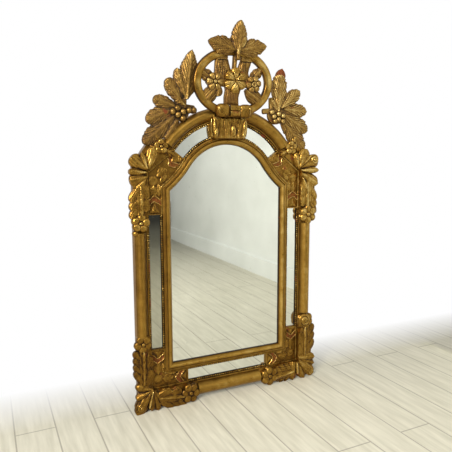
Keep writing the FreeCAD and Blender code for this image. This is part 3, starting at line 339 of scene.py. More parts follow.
def skin(rows, around, start=0, ring=False):
    """Quads between neighbouring rows of points; each row is closed, and in a ring the rows too."""
    faces = []
    for i in range(rows if ring else rows - 1):
        here, there = start + i * around, start + (i + 1) % rows * around
        for j in range(around):
            k = (j + 1) % around
            faces.append((here + j, here + k, there + k, there + j))
    return faces


def capped(rows, around, start=0):
    """Skin with both ends closed."""
    last = start + (rows - 1) * around
    return skin(rows, around, start) + [range(start, start + around)[::-1], range(last, last + around)]


def unit(values):
    return np.clip(values, 0, 1)


def bell(values, width):
    return np.exp(-(values / width) ** 2)


def wobble(x, z, size, seed):
    """Smooth irregular field of about -1 to 1 with features of the given size."""
    dice = np.random.default_rng(seed)
    total = 0.0
    for _ in range(6):
        turn = dice.uniform(0, 2 * pi)
        wave = 2 * pi / (size * dice.uniform(0.7, 1.5))
        total = total + np.sin(wave * (x * cos(turn) + z * sin(turn)) + dice.uniform(0, 6.3))
    return total / 3.0


def blurred(values, cells):
    """Gaussian blur of a grid by a width in cells."""
    rows, columns = values.shape
    pad = int(cells * 3) + 1
    wide = np.pad(values, pad, mode="edge")
    fz = np.fft.fftfreq(wide.shape[0])[:, None]
    fx = np.fft.rfftfreq(wide.shape[1])[None, :]
    pass_band = np.exp(-2 * (pi * cells) ** 2 * (fz ** 2 + fx ** 2))
    soft = np.fft.irfft2(np.fft.rfft2(wide) * pass_band, s=wide.shape)
    return soft[pad:pad + rows, pad:pad + columns]


class Relief:
    """Carved piece on a flat back: heights on a grid, cut off along the carving's own outline.

    An outline is a field that is positive inside and tells about how far the edge is.
    """

    THINNEST = 2.0
    WIDE_BLUR = 6.0
    FINE_BLUR = 2.2

    def __init__(self, x0, x1, z0, z1, seed, pitch=0.9):
        self.pitch = pitch
        self.seed = seed
        xs = np.arange(x0, x1 + pitch, pitch)
        zs = np.arange(z0, z1 + pitch, pitch)
        self.x, self.z = np.meshgrid(xs, zs)
        self.inside = np.full(self.x.shape, -99.0)
        self.height, self.reach, self.bole, self.shade = np.zeros((4, *self.x.shape))

    def add(self, f, h, bole=0.0, shade=0.0):
        """Adds a form of outline f and height h where it stands higher than what is there."""
        over = (f > 0) & (h > self.height)
        self.height = np.where(over, h, self.height)
        self.bole = np.where(over, bole, self.bole)
        self.shade = np.where(over, shade, self.shade)
        self.reach = np.where(f > self.inside, h, self.reach)
        self.inside = np.maximum(self.inside, f)

    def sink(self, x, z, radius, depth, soft):
        """Drills a soft round hole."""
        self.height -= depth * unit((radius - polar(self, x, z)[0]) / soft)

    def stain(self, f, amount, soft):
        """Bares the red ground inside an outline."""
        self.bole = np.maximum(self.bole, amount * unit(f / soft))

    def within(self, f):
        """Cuts the piece off along an outline."""
        self.inside = np.minimum(self.inside, f)

    def tones(self, top, solid):
        """Painted shade and patina in the hollows, painted highlights on ridges and painted light on high
        places;
        along the rim only the height counts.
        """
        weight = solid.astype(float)
        shares, means = [], []
        for size in (self.WIDE_BLUR, self.FINE_BLUR):
            shares.append(np.maximum(blurred(weight, size / self.pitch), 0.05))
            means.append(blurred(top * weight, size / self.pitch) / shares[-1])
        inner = unit(2 * shares[0] - 1)
        even, near = means
        # Hollows get painted shade and patina, ridges a painted highlight
        relief = (top - even) / 4.0 + (top - near) / 1.8
        relief = np.clip(np.where(relief > 0, 0.5 * relief, relief), -0.9, 0.6)
        # Painted highlight on sharp ridges
        ridge_highlight = unit((top - near) / 1.1 - 0.3)
        # Painted light on high places
        raised = np.clip((top - 13.0) / 36.0, -0.2, 0.2)
        return (relief + 0.5 * ridge_highlight) * inner + 0.1 * (1 - inner) + raised + self.shade

    def build(self, name, nodes, back, place=on_wall, flip=False, rough=0.22, lift=0.0,
              painted_side_shade=-0.25, material=gilt):
        """Closed mesh of the carved front, a flat back and a wall along the outline."""
        pitch = self.pitch
        solid = self.inside > 0
        grain = wobble(self.x, self.z, 5.0, self.seed) + wobble(self.x, self.z, 17.0, self.seed + 1)
        top = np.maximum(np.where(solid, self.height, self.reach) + rough * grain, self.THINNEST)
        # lift is painted light: it lightens the tone of the whole piece
        relief = self.tones(top, solid) + lift

        cells = solid.astype(int)
        keep = cells[:-1, :-1] + cells[1:, :-1] + cells[:-1, 1:] + cells[1:, 1:] >= 2
        full = np.zeros(solid.shape, int)
        for dr in (0, 1):
            for dc in (0, 1):
                full[dr:dr + keep.shape[0], dc:dc + keep.shape[1]] += keep
        used = full > 0
        number = np.full(solid.shape, -1)
        number[used] = np.arange(used.sum())

        # Points on the rim move onto the outline
        gz, gx = np.gradient(self.inside, pitch)
        steep = np.maximum(gx ** 2 + gz ** 2, 0.25)
        gap = np.clip(self.inside, -1.5 * pitch, 1.5 * pitch) / steep
        step = np.where(used & (full < 4), gap, 0.0)
        px = self.x + np.clip(-step * gx, -0.8 * pitch, 0.8 * pitch)
        pz = self.z + np.clip(-step * gz, -0.8 * pitch, 0.8 * pitch)
        fx, fz = px[used] * (-1.0 if flip else 1.0), pz[used]
        front = np.column_stack(place(fx, back + top[used], fz))
        rear = np.column_stack(place(fx, np.full_like(fx, back), fz))
        total = len(front)

        ways = (number[:-1, :-1], number[:-1, 1:], number[1:, 1:], number[1:, :-1])
        quads = np.column_stack([way[keep] for way in ways])
        if flip:
            quads = quads[:, ::-1]
        edges = np.vstack([quads[:, [i, (i + 1) % 4]] for i in range(4)])
        code = edges.min(axis=1) * total + edges.max(axis=1)
        _, where, times = np.unique(code, return_index=True, return_counts=True)
        rim = edges[where[times == 1]]
        walls = np.column_stack((rim[:, 1], rim[:, 0], rim[:, 0] + total, rim[:, 1] + total))
        faces = np.vstack((quads, quads[:, ::-1] + total, walls)).tolist()
        # Walls along the outline get painted shade, or painted light on the keystone piece
        tone = np.concatenate((relief[used], np.full(total, painted_side_shade)))
        bole = np.concatenate((self.bole[used], np.zeros(total)))
        make_object(name, np.vstack((front, rear)), faces, material, nodes, tone, bole)


# Forms that carvings are made of

def carved(form):
    """Makes a function that gives an outline and a height add them to the relief it gets."""
    def carve(r, *data, bole=0.0, shade=0.0, inside=np.inf, **more):
        f, h = form(r, *data, **more)
        r.add(np.minimum(f, inside), h, bole, shade)
    return carve


def turned(r, x, z, angle):
    """Coordinates along and across an axis that leaves (x, z) at an angle in degrees."""
    way = radians(angle)
    dx, dz = r.x - x, r.z - z
    return dx * cos(way) + dz * sin(way), dz * cos(way) - dx * sin(way)


def polar(r, x, z):
    """Distance and direction from (x, z)."""
    dx, dz = r.x - x, r.z - z
    return np.hypot(dx, dz), np.arctan2(dz, dx)


@carved
def leaf(r, x, z, angle, length, width, lobes=4, notch=0.12, sweep=0.6, bend=0.0, peak=0.5, blunt=0.4,
         edge=6.0, rise=6.0, curl=3.0, foot=0.2, fold=1.6, hatch=0.7, streak=False, spacing=7.0,
         furrow=1.7, teeth=0):
    """Carved leaf: domed blade, low rib, furrows to the notches of its edge and chisel lines."""
    u, t = turned(r, x, z, angle)
    s = u / length
    t = t - bend * length * np.clip(s, 0, 1.2) ** 2
    wide = np.abs(t)
    c = unit(s)
    opening = foot + (1 - foot) * np.sin(0.5 * pi * unit(c / peak)) ** 0.9
    closing = unit(1 - unit((c - peak) / (1 - peak)) ** (1.4 + 1.2 * blunt))
    half = 0.5 * width * np.where(c < peak, opening, closing ** (0.85 - 0.4 * blunt))
    vein = s - sweep * wide / length
    scallop = np.abs(np.sin(pi * vein * lobes)) ** 0.7 if lobes else np.ones(s.shape)
    half = half * (1 - notch * (1 - scallop))
    if teeth:
        half = half * (1 - 0.09 * ((s - 0.9 * wide / length) * teeth % 1.0))
    f = np.minimum(np.minimum(half - wide, u + 2.0), length + 1.0 - u)
    q = unit(wide / np.maximum(half, 0.5))
    swell = 0.6 + 0.4 * np.sin(pi * c ** 0.8)
    h = edge + rise * swell * (1 - 0.85 * q ** 2.2) + curl * c ** 3
    h = h - furrow * (1 - scallop) * unit(q * 1.4)
    fade = 1 - 0.7 * c
    h = h + fold * fade * (bell(wide, 3.0) - 0.6 * bell(wide - 7.0, 3.0))
    lines = t / spacing if streak else (u - 2.6 * wide) / (2.79 * spacing)
    h = h + hatch * np.sin(2 * pi * lines + 0.8 * np.sin(u / 9.0)) * unit(q * 1.8)
    return f, h


def petal(r, *data, **more):
    """Leaf with a plain edge and chisel lines along it."""
    leaf(r, *data, lobes=0, streak=True, **more)


@carved
def flower(r, x, z, radius, petals, turn, edge, rise, eye=0.2, depth=0.2, gouges=0):
    """Open flower: pillow petals with a crease each, round a small bead or a star of gouges."""
    rho, phi = polar(r, x, z)
    phi = phi - radians(turn)
    lap = np.abs(np.cos(petals * phi / 2)) ** 0.6
    rim = radius * (1 - depth + depth * lap)
    f = rim - rho
    q = unit(rho / rim)
    h = edge + rise * (0.35 + 0.65 * np.sin(pi * (0.10 + 0.78 * q))) * (0.62 + 0.38 * lap)
    aside = np.abs(np.arcsin(np.clip(np.sin(petals * phi / 2), -1, 1))) * 2 / petals * rho
    h = h - 1.1 * bell(aside, 1.6) * unit((q - 0.4) * 4)
    if gouges:
        star = np.abs(np.sin(gouges * phi / 2)) * rho
        cut = bell(star, 2.4) * unit(1 - np.abs(q - 0.3) / 0.26)
        return f, h - 4.0 * cut
    core = eye * radius
    bead = edge + rise * 0.8 + np.sqrt(np.maximum(core ** 2 - rho ** 2, 0)) * 0.7
    return f, np.where(rho < core, bead, h - 2.2 * bell(rho - core * 1.2, 1.8))


@carved
def pillow(r, x, z, a, b, angle, edge, rise, dimple=0.0, weave=0.0):
    """Oval boss, with a dimple or a crossed hatching if asked for."""
    u, t = turned(r, x, z, angle)
    e = np.hypot(u / a, t / b)
    h = edge + rise * np.sqrt(unit(1 - 0.97 * e ** 2)) - dimple * bell(e, 0.45)
    h = h + weave * np.sin((u + t) * 1.5) * np.sin((u - t) * 1.5)
    return (1 - e) * min(a, b), h


def rosette(r, x, z, radius, petals, turn, edge=7.0, rise=10.0, dimple=0.8):
    """Flower of plump petals on a low bed, round a knob."""
    pillow(r, x, z, 0.84 * radius, 0.84 * radius, 0, edge, 0.45 * rise, shade=-0.15)
    size = min(0.50, 2.6 / petals) * radius
    for i in range(petals):
        way = radians(turn + 360.0 * i / petals)
        pillow(r, x + 0.57 * radius * cos(way), z + 0.57 * radius * sin(way), 0.45 * radius,
               size, degrees(way), edge + 1.2 * (i % 2), rise, dimple=dimple)
    pillow(r, x, z, 0.28 * radius, 0.28 * radius, 0, edge + 1, rise, shade=-0.15)


@carved
def scroll(r, x, z, radius, turn, edge, rise):
    """Rolled end: a boss with a spiral furrow."""
    rho, phi = polar(r, x, z)
    lap = (rho / radius * 1.9 - (phi + radians(turn)) / (2 * pi)) % 1.0
    e = unit(rho / radius)
    h = edge + rise * np.sqrt(1 - 0.9 * e ** 2) + 1.2
    return radius - rho, h - 2.4 * bell(lap - 0.5, 0.17) * unit(e * 3)


@carved
def slab(r, x, z, angle, length, width, height, dome, corner, ribs=0.0):
    """Rounded bar along an axis from (x, z), with level ribs if asked for."""
    u, t = turned(r, x, z, angle)
    half = 0.5 * width
    du, dt = np.abs(u - length / 2) - length / 2 + corner, np.abs(t) - half + corner
    f = corner - np.hypot(np.maximum(du, 0), np.maximum(dt, 0)) - np.minimum(np.maximum(du, dt), 0)
    q = unit(np.abs(t) / half)
    edge = 1 - unit(1 - f / 3.0) ** 2
    h = height - 3.0 + 3.0 * edge + dome * np.sqrt(1 - 0.9 * q ** 2)
    return f, h + ribs * np.sin(2 * pi * r.z / 6.0)


def polygon(r, points):
    """Signed distance to a closed polygon, positive inside."""
    best = np.full(r.x.shape, 1e9)
    odd = np.zeros(r.x.shape, bool)
    for (ax, az), (bx, bz) in zip(points, points[1:] + points[:1]):
        ex, ez = bx - ax, bz - az
        s = unit(((r.x - ax) * ex + (r.z - az) * ez) / (ex * ex + ez * ez))
        best = np.minimum(best, np.hypot(r.x - ax - s * ex, r.z - az - s * ez))
        if ez != 0:
            odd ^= ((az > r.z) != (bz > r.z)) & (r.x < (r.z - az) / ez * ex + ax)
    return np.where(odd, best, -best)


# Mouldings: rows of offset, depth and tone (painted shade low and in grooves, painted highlight on crowns)

INNER_PROFILE = [
    (0.0, REBATE_V, -1.0), (0.0, 18.2, -1.0), (0.5, 19.4, -0.4), (1.8, 21.4, 0.04), (3.6, 23.8, 0.12),
    (5.8, 25.8, 0.20), (8.2, 27.9, 0.24), (10.8, 29.0, 0.22), (13.2, 28.6, 0.14), (15.2, 27.0, 0.04),
    (16.6, 25.0, -0.2), (17.4, 24.2, -0.45), (18.2, 25.0, -0.1), (19.2, 26.1, 0.2), (20.4, 26.1, 0.2),
    (21.3, 25.0, -0.05), (22.2, 23.8, -0.3), (23.6, 23.2, -0.15), (25.2, 23.0, -0.1), (26.4, 22.4, -0.2),
    (INNER_W, 20.6, -0.5), (INNER_W, REBATE_V, -0.8),
]


def outer_profile(width):
    """A fillet, a hollow and a broad round that falls to the inside; the back leaves a rebate."""
    points = [
        (0.0, REBATE_V, -0.8), (0.0, 20.4, -0.45), (0.5, 21.5, -0.15), (1.7, 22.2, -0.02),
        (3.6, 22.2, -0.02), (4.7, 21.5, -0.2), (5.2, 20.4, -0.45), (5.9, 20.8, -0.45), (6.4, 22.8, -0.25),
        (7.0, 25.2, -0.1),
    ]
    # Tones: painted shade in the hollow and on low faces, painted highlight on the crown of the round
    for share in np.linspace(0.06, 1.0, 15):
        arc = max(sin(pi * share), 0.0)
        v = 25.5 + 7.0 * share + 13.0 * arc ** 0.75
        points.append((7.0 + (width - 9.2) * share, v, 0.18 * arc - 0.04))
    return points + [
        (width - 1.7, 31.0, -0.1), (width - 1.2, 30.4, -0.25), (width - 0.6, 30.9, 0.0), (width, 30.0, 0.0),
        (width, 0.0, -0.15), (10.0, 0.0, -0.5), (10.0, REBATE_V, -0.5),
    ]


def flare_corner(u):
    x = SIGHT_X + u
    return x, FLARE_Z - sqrt((FLARE_R - u) ** 2 - (FLARE_X - x) ** 2)


def flare_point(u, share):
    """Point of the curve at offset u, from the shoulder corner (0) to the arch (1)."""
    x, z = flare_corner(u)
    start = atan2(z - FLARE_Z, x - FLARE_X)
    end = atan2(-cos(TOUCH), -sin(TOUCH))
    way = start + (end - start) * share
    return FLARE_X + (FLARE_R - u) * cos(way), FLARE_Z + (FLARE_R - u) * sin(way)


def arch_point(radius, way):
    return radius * sin(way), ARCH_Z + radius * cos(way)


def arch_half(radius, share, side):
    """Point on one side of the arch, from the keystone (0) to the shoulder (1)."""
    x, z = arch_point(radius, KEYSTONE + (ARCH_END - KEYSTONE) * share)
    return side * x, z


def head_point(u, share):
    """Point over the centre plate, from the right shoulder (0) to the left one (1)."""
    flare = 0.2
    if share < flare:
        return flare_point(u, share / flare)
    if share > 1 - flare:
        x, z = flare_point(u, (1 - share) / flare)
        return -x, z
    return arch_point(ARCH_R + u, TOUCH * (1 - 2 * (share - flare) / (1 - 2 * flare)))


def hand(i, j, seed):
    """Slight unevenness of hand-run mouldings, in millimetres."""
    return 0.12 * sin(0.61 * i + seed) + 0.10 * sin(0.23 * i + 1.7 * seed + 0.4 * j)


def swept(name, node, profile, rows, place, seed):
    """Carries a profile along a path; only its face is uneven."""
    face = 19.0
    corners = []
    for i in range(rows + 1):
        for j, (u, v, _) in enumerate(profile):
            x, z = place(u, i / rows)
            corners.append((x, -v - (hand(i, j, seed) if v > face else 0.0), z))
    # The profile tones are painted shade and highlight
    tone = np.tile([tone for _, _, tone in profile], rows + 1)
    make_object(name, corners, capped(rows + 1, len(profile)), gilt_plain, [node], tone, angle=35.0)


def build_mouldings():
    inner, outer = INNER_PROFILE, outer_profile(OUTER_W)
    for side, word in SIDES:
        for kind, spot, profile, rows, seed, path in (
                ("stile", "inner", inner[::side], 60, 1.0, lambda u, s: (
                    side * (SIGHT_X + u), (SIGHT_LOW - u) * (1 - s) + flare_corner(u)[1] * s)),
                ("stile", "outer", outer[::side], 50, 3.0, lambda u, s: (
                    side * (OUTER_X + u), STILE_LOW + STILE_LENGTH * s)),
                ("arch", "outer", outer[::-side], 60, 5.0, lambda u, s: arch_half(OUTER_R + u, s, side))):
            swept(f"{kind}_{spot}_{word}", f"{spot}_{kind}_{word}", profile, rows, path, seed + side)
    swept("rail_outer", "outer_rail", outer_profile(RAIL_W), 40,
          lambda u, s: (RAIL_HALF * (1 - 2 * s), RAIL_TOP - u), 7.0)
    swept("rail_inner", "inner_rail", inner, 60,
          lambda u, s: ((SIGHT_X + u) * (1 - 2 * s), SIGHT_LOW - u), 8.0)
    swept("head_inner", "inner_arch", inner[::-1], 150, head_point, 9.0)


# Bead strips

STRIP_PROFILE = [(0, REBATE_V), (0, 16.0), (0.12, 17.2), (0.25, 16.4), (0.5, 16.0), (0.75, 16.4),
                 (0.88, 17.2), (1, 16.0), (1, REBATE_V)]


def bead_run(points, corners, faces, tone):
    """Row of small turned beads along a path of (x, z) points."""
    path = np.array(points, float)
    way = np.concatenate(([0.0], np.cumsum(np.hypot(*np.diff(path, axis=0).T))))
    amount = int(way[-1] / BEAD_SPACING)
    for place in (np.arange(amount) + 0.5) * way[-1] / amount:
        x, z = (np.interp(place, way, path[:, axis]) for axis in (0, 1))
        size = BEAD_R * rng.uniform(0.92, 1.06)
        shine = 0.7 if rng.uniform() < 0.6 else 0.1
        start = len(corners)
        # Painted shade low on each bead and a painted highlight at its tip, stronger where shine is picked
        for i in range(BEAD_RINGS):
            up = 0.5 * pi * i / BEAD_RINGS - 0.25
            out, v = size * cos(up), BEAD_V + size * sin(up)
            for turn in np.arange(BEAD_SECTORS) * 2 * pi / BEAD_SECTORS:
                corners.append((x + out * cos(turn), -v, z + out * sin(turn)))
                tone.append(-1.0 + (0.4 + 0.3 * shine) * i)
        tip = len(corners)
        last = tip - BEAD_SECTORS
        corners.append((x, -(BEAD_V + size), z))
        tone.append(0.5 + shine)
        faces += skin(BEAD_RINGS, BEAD_SECTORS, start)
        faces += [(last + j, last + (j + 1) % BEAD_SECTORS, tip) for j in range(BEAD_SECTORS)]
        faces.append(range(start, start + BEAD_SECTORS)[::-1])


def bead_strips(name, starts, path):
    """Strips on thin rounded beds; path gives the points of a line at an offset."""
    corners, faces, tone = [], [], []
    for start in starts:
        inner, middle, outer = (path(start + BEAD_W * share) for share in (0, 0.5, 1))
        first = len(corners)
        for (ax, az), (bx, bz) in zip(inner, outer):
            for share, v in STRIP_PROFILE:
                corners.append((ax + (bx - ax) * share, -v, az + (bz - az) * share))
                # Darker low between the rims (painted shade and dark ground), lighter on the rims
                tone.append(-0.2 if v > 17 else -1.0)
        faces += capped(len(inner), len(STRIP_PROFILE), first)
        bead_run(middle, corners, faces, tone)
    turn_outward(make_object(f"beads_{name}", corners, faces, gilt_dark, [f"bead_strips_{name}"], tone))


def build_beads():
    for side, word in SIDES:
        bead_strips(f"side_{word}", (SIGHT_X + INNER_W, OUTER_X - BEAD_W),
                    lambda x: np.linspace((side * x, FOOT_TOP), (side * x, SHOULDER_LOW), 25))
        bead_strips(f"arch_{word}", (ARCH_R + INNER_W, OUTER_R - BEAD_W),
                    lambda radius: [arch_half(radius, s, side) for s in np.linspace(0, 1, 37)])
    bead_strips("base", (INNER_W - SIGHT_LOW, -RAIL_TOP - BEAD_W),
                lambda drop: np.linspace((-BASE_HALF, -drop), (BASE_HALF, -drop), 25))


# Carvings at the corners; x counts from the middle outward, and the left ones are mirrored

def lobe(r, x, z, angle, length, width, edge, bed=1.3):
    """Plump rounded lobe of a shell on a wider and lower one that closes the gap to its neighbours."""
    petal(r, x, z, angle, 0.9 * length, bed * width, peak=0.66, blunt=0.95, edge=edge - 1.5, rise=7.0,
          curl=1.0, foot=0.4, fold=0.0, hatch=0.4, spacing=8.0)
    petal(r, x, z, angle, length, width, peak=0.66, blunt=0.95, edge=edge, rise=9, curl=2.0, foot=0.3,
          fold=0.8, hatch=0.5, spacing=9.0)


def foot_shell(side):
    r = Relief(222, 352, -56, 66, 11 + side)
    if side > 0:
        lobes = [
            (264, 30, -98, 80, 36, 6.0), (267, 32, -5, 82, 34, 7.0), (267, 30, -66, 88, 34, 6.5),
            (270, 30, -22, 84, 30, 5.5), (268, 30, -42, 101, 42, 9.0),
        ]
        scroll(r, 330, -30, 16, 40, edge=9, rise=8)
        petal(r, 268, 30, -84, 62, 16, edge=12, rise=6, blunt=0.6, hatch=0.2)
    else:
        lobes = [
            (277, 22, -121, 74, 28, 5.0), (278, 24, -23, 60, 26, 7.0), (278, 22, -104, 74, 30, 6.5),
            (279, 24, 14, 48, 26, 6.0), (279, 22, -86, 68, 28, 8.0), (279, 24, -56, 92, 40, 9.0),
        ]
        scroll(r, 318, -31, 18, 10, edge=9, rise=9)
        pillow(r, 320, 37, 15, 13, 30, edge=8, rise=9)
        petal(r, 279, 20, -76, 58, 14, edge=13, rise=6, blunt=0.5, hatch=0.2)
    for data in lobes:
        lobe(r, *data)
    r.within(np.minimum(np.maximum(r.x - 277, 19 - r.z), r.z - FLOOR_CUT))
    return r


def husk(r, x, z, angle, length, outer, inner, turn, count):
    """Leaf that clings to a stile or rail: soft lobes on both sides of a broad middle fold."""
    fan = 33
    way = radians(angle)
    ahead, aside = (cos(way), sin(way)), (-turn * sin(way), turn * cos(way))
    shift = 0.5 * (outer - inner)
    leaf(r, x + shift * aside[0], z + shift * aside[1], angle, length, outer + inner - 8, lobes=count,
         notch=0.1, sweep=0.9, peak=0.45, blunt=0.9, edge=9, rise=7, curl=0, foot=0.7, fold=0.0, hatch=0.9,
         streak=True, spacing=13.0)
    for reach, sign, number in ((inner, -turn, 2), (outer, turn, count)):
        size = (reach - 3) / sin(radians(fan))
        step = 0.74 * length / number
        for i in range(number):
            along = 0.02 * length + step * i
            petal(r, x + along * ahead[0], z + along * ahead[1], angle + fan * sign, size, 1.25 * step,
                  peak=0.6, blunt=0.9, edge=8.5 - 0.6 * i, rise=6.5, curl=2, foot=0.7, fold=0.4, hatch=0.35)
    petal(r, x, z, angle, 0.95 * length, 20, peak=0.5, blunt=0.6, edge=11.0, rise=5.5, foot=0.7, fold=1.2,
          hatch=0.1)


def foot_drop(side):
    r = Relief(266, 354, 28, 210, 21 + side)
    if side > 0:
        husk(r, 304, 36, 90, 116, 40, 30, -1, 3)
        for way in (-70, -20, 30):
            place = radians(way)
            pillow(r, 303 + 22 * cos(place), 169 + 22 * sin(place), 14, 16, way, edge=7, rise=9)
        pillow(r, 287, 158, 13, 15, 40, edge=7, rise=8)
        scroll(r, 301, 173, 25, 120, edge=9, rise=11)
    else:
        husk(r, 306, 46, 90, 116, 32, 30, -1, 4)
        rosette(r, 306, 178, 29, 5, 60, edge=7, rise=8)
    r.within(r.x - DROP_X)
    return r


def rail_drop(side):
    r = Relief(108, 266, -54, 30, 31 + side)
    if side > 0:
        leaf(r, 258, -15, 180, 92, 74, notch=0.14, peak=0.4, blunt=0.8, edge=7, rise=8, foot=0.5, hatch=0.5,
             streak=True, teeth=7)
        petal(r, 258, -16, 187, 84, 24, blunt=0.5, edge=12, rise=5, hatch=0.3)
        rosette(r, 157, -16, 35, 6, 35)
    else:
        husk(r, 258, -10, 188, 92, 36, 28, 1, 3)
        rosette(r, 148, -16, 34, 6, 5)
        pillow(r, 186, -30, 12, 14, 0, edge=8, rise=8)
    r.within(np.minimum(19.5 - r.z, r.z - FLOOR_CUT))
    return r


def shoulder_shell(side):
    r = Relief(206, 354, 646, 806, 41 + side)
    if side > 0:
        lobes = [
            (268, 726, 102, 54, 26, 7.0), (272, 712, -29, 86, 42, 7.5), (272, 726, 22, 82, 46, 7.0),
            (270, 728, 66, 70, 44, 9.0), (270, 727, 42, 66, 18, 7.5),
        ]
        scroll(r, 331, 757, 18, 200, edge=9, rise=9)
        petal(r, 266, 719, 0, 80, 22, edge=13, rise=8, peak=0.7, blunt=0.9, hatch=0.3)
        petal(r, 281, 694, -66, 44, 20, edge=12, rise=8, peak=0.65, blunt=0.9, hatch=0.3)
    else:
        lobes = [
            (277, 730, 106, 66, 40, 8.0), (283, 704, -14, 54, 42, 7.0), (283, 728, 38, 60, 44, 8.0),
            (284, 718, 3, 54, 24, 9.0), (284, 700, -48, 46, 30, 6.0),
        ]
        petal(r, 282, 730, 72, 52, 22, edge=12, rise=6, hatch=0.3)
    for data in lobes:
        lobe(r, *data, bed=1.05)
    _, across = turned(r, 277, 716, 142)
    r.within(np.where(r.z < 716, r.x - DROP_X, -across))
    return r


def shoulder_drop(side):
    r = Relief(266, 356, 520, 680, 51 + side)
    if side > 0:
        husk(r, 305, 674, -90, 98, 40, 30, 1, 3)
        rosette(r, 309, 562, 35, 6, 90, edge=8, dimple=0.0)
    else:
        husk(r, 302, 678, -90, 104, 34, 26, 1, 3)
        rosette(r, 305, 563, 29, 5, 100, edge=8)
        pillow(r, 321, 532, 10, 9, 0, edge=7, rise=7)
    r.within(r.x - DROP_X)
    return r


def arch_flower(side):
    r = Relief(194, 274, 756, 840, 61 + side)
    for data in ((226, 788, 205, 40, 28), (238, 804, 62, 36, 28), (246, 796, -10, 28, 26)):
        leaf(r, *data, lobes=3, edge=5)
    rosette(r, 235, 797, 24, 5, 20, edge=7, rise=9)
    return r


def cartouche():
    """Fluted keystone piece, wider at its top, with a volute at its left foot and a drop in the middle."""
    r = Relief(-76, 76, 812, 900, 71)
    up = unit((r.z - 822) / 70)
    spread = 50 + 11 * up ** 1.6
    f = np.minimum(np.minimum(spread - np.abs(r.x), r.z - 821.5), 893 - r.z)
    across = r.x / spread
    lines = across * 58 + 2.5 * np.sin(r.z / 13.0)
    h = 11 + 4.5 * np.sqrt(unit(1 - across ** 2)) + 3.0 * up ** 2
    h = h + 1.1 * np.abs(np.sin(pi * lines / 15.0)) + 0.25 * np.sin(2 * pi * lines / 6.5)
    h = h - 2.0 * bell(np.abs(across) - 0.42, 0.06)
    rounded = np.sqrt(unit(1 - unit(1 - f / 8) ** 2))
    r.add(f, 4 + (h - 4) * rounded)
    pillow(r, 10, 850, 18, 9, 94, edge=14, rise=7)
    pillow(r, 8, 839, 9, 9, 0, edge=14, rise=5, shade=-0.2)
    petal(r, -59, 893, -84, 60, 18, peak=0.7, blunt=1.0, edge=9, rise=8, fold=0.5, hatch=0.1)
    pillow(r, -51, 843, 20, 9, 82, edge=10, rise=9, shade=0.1)
    petal(r, 53, 893, -97, 62, 17, peak=0.4, blunt=0.6, edge=9, rise=7, fold=1.5)
    return r


def volutes():
    """Rounded cheeks of the keystone piece, which come down to the arch plates."""
    r = Relief(-76, 76, 814, 900, 73)
    for side in (-1, 1):
        petal(r, side * 62, 890, -90 - side * 7, 66, 26, peak=0.72, blunt=1.0, edge=5, rise=17, curl=0,
              foot=0.5, fold=0.0, hatch=0.15)
    return r


# Panels beside the shells

GROUND = 10.6


def punched(r, seed):
    """Field of small punch marks."""
    dice = np.random.default_rng(seed)
    rows, columns = r.x.shape
    spots = np.zeros((rows, columns))
    amount = int(rows * columns * r.pitch ** 2 / 11.0)
    spots[dice.integers(0, rows, amount), dice.integers(0, columns, amount)] = 1.0
    marks = blurred(spots, 0.9 / r.pitch)
    return unit(marks / max(marks.max(), 1e-6) * 2.2)


def chevron(r, x, z, angle, size, width):
    """Outline of a V whose point lies at (x, z)."""
    u, t = turned(r, x, z, angle)
    arm = np.abs(u - 0.75 * np.abs(t) + 1.5 * wobble(r.x, r.z, 14.0, 5)) / 1.25
    return np.minimum(width / 2 - arm, size - np.abs(t))


def panel(points, motifs, seed):
    """Punched ground with a raised border and low motifs."""
    xs, zs = zip(*points)
    r = Relief(min(xs) - 3, max(xs) + 3, min(zs) - 3, max(zs) + 3, seed)
    shape = polygon(r, points)
    border = 13.2 - unit((np.abs(shape - 2.2) - 1.6) / 0.9) * 2.6
    r.add(shape, np.maximum(GROUND - 0.9 * punched(r, seed), border))
    for kind, *data in motifs:
        if kind == "disc":
            x, z, radius = data
            rho, _ = polar(r, x, z)
            r.add(np.minimum(radius + 4 - rho, shape), 11.6 - 0.9 * np.clip(rho - radius - 1, 0, 3))
            pillow(r, x, z, radius, radius, 0, edge=10.5, rise=3.2, dimple=1.0, inside=shape)
        elif kind == "oval":
            pillow(r, *data, edge=10.4, rise=2.8, weave=0.6, inside=shape - 2)
        elif kind == "tent":
            f = np.minimum(polygon(r, data), shape - 2)
            r.add(f, GROUND + 2.6 * unit(f / 7))
        elif kind == "vee":
            x, z, angle, size = data
            way = radians(angle)
            for step in (0, 17):
                f = chevron(r, x + step * cos(way), z + step * sin(way), angle, size, 3.6)
                f = np.minimum(f, shape - 3)
                r.add(f, 11.0 + 1.6 * unit(f / 1.3))
            middle = chevron(r, x + 8.5 * cos(way), z + 8.5 * sin(way), angle, size, 15.0)
            patchy = 0.6 + 0.5 * wobble(r.x, r.z, 9.0, seed + 2)
            r.stain(np.minimum(middle, shape - 4), unit(patchy), 3.0)
        else:
            leaf(r, *data, lobes=3, notch=0.08, edge=GROUND, rise=2.0, curl=0.2, fold=0.4, hatch=0.25,
                 furrow=0.6, inside=shape - 2)
    return r


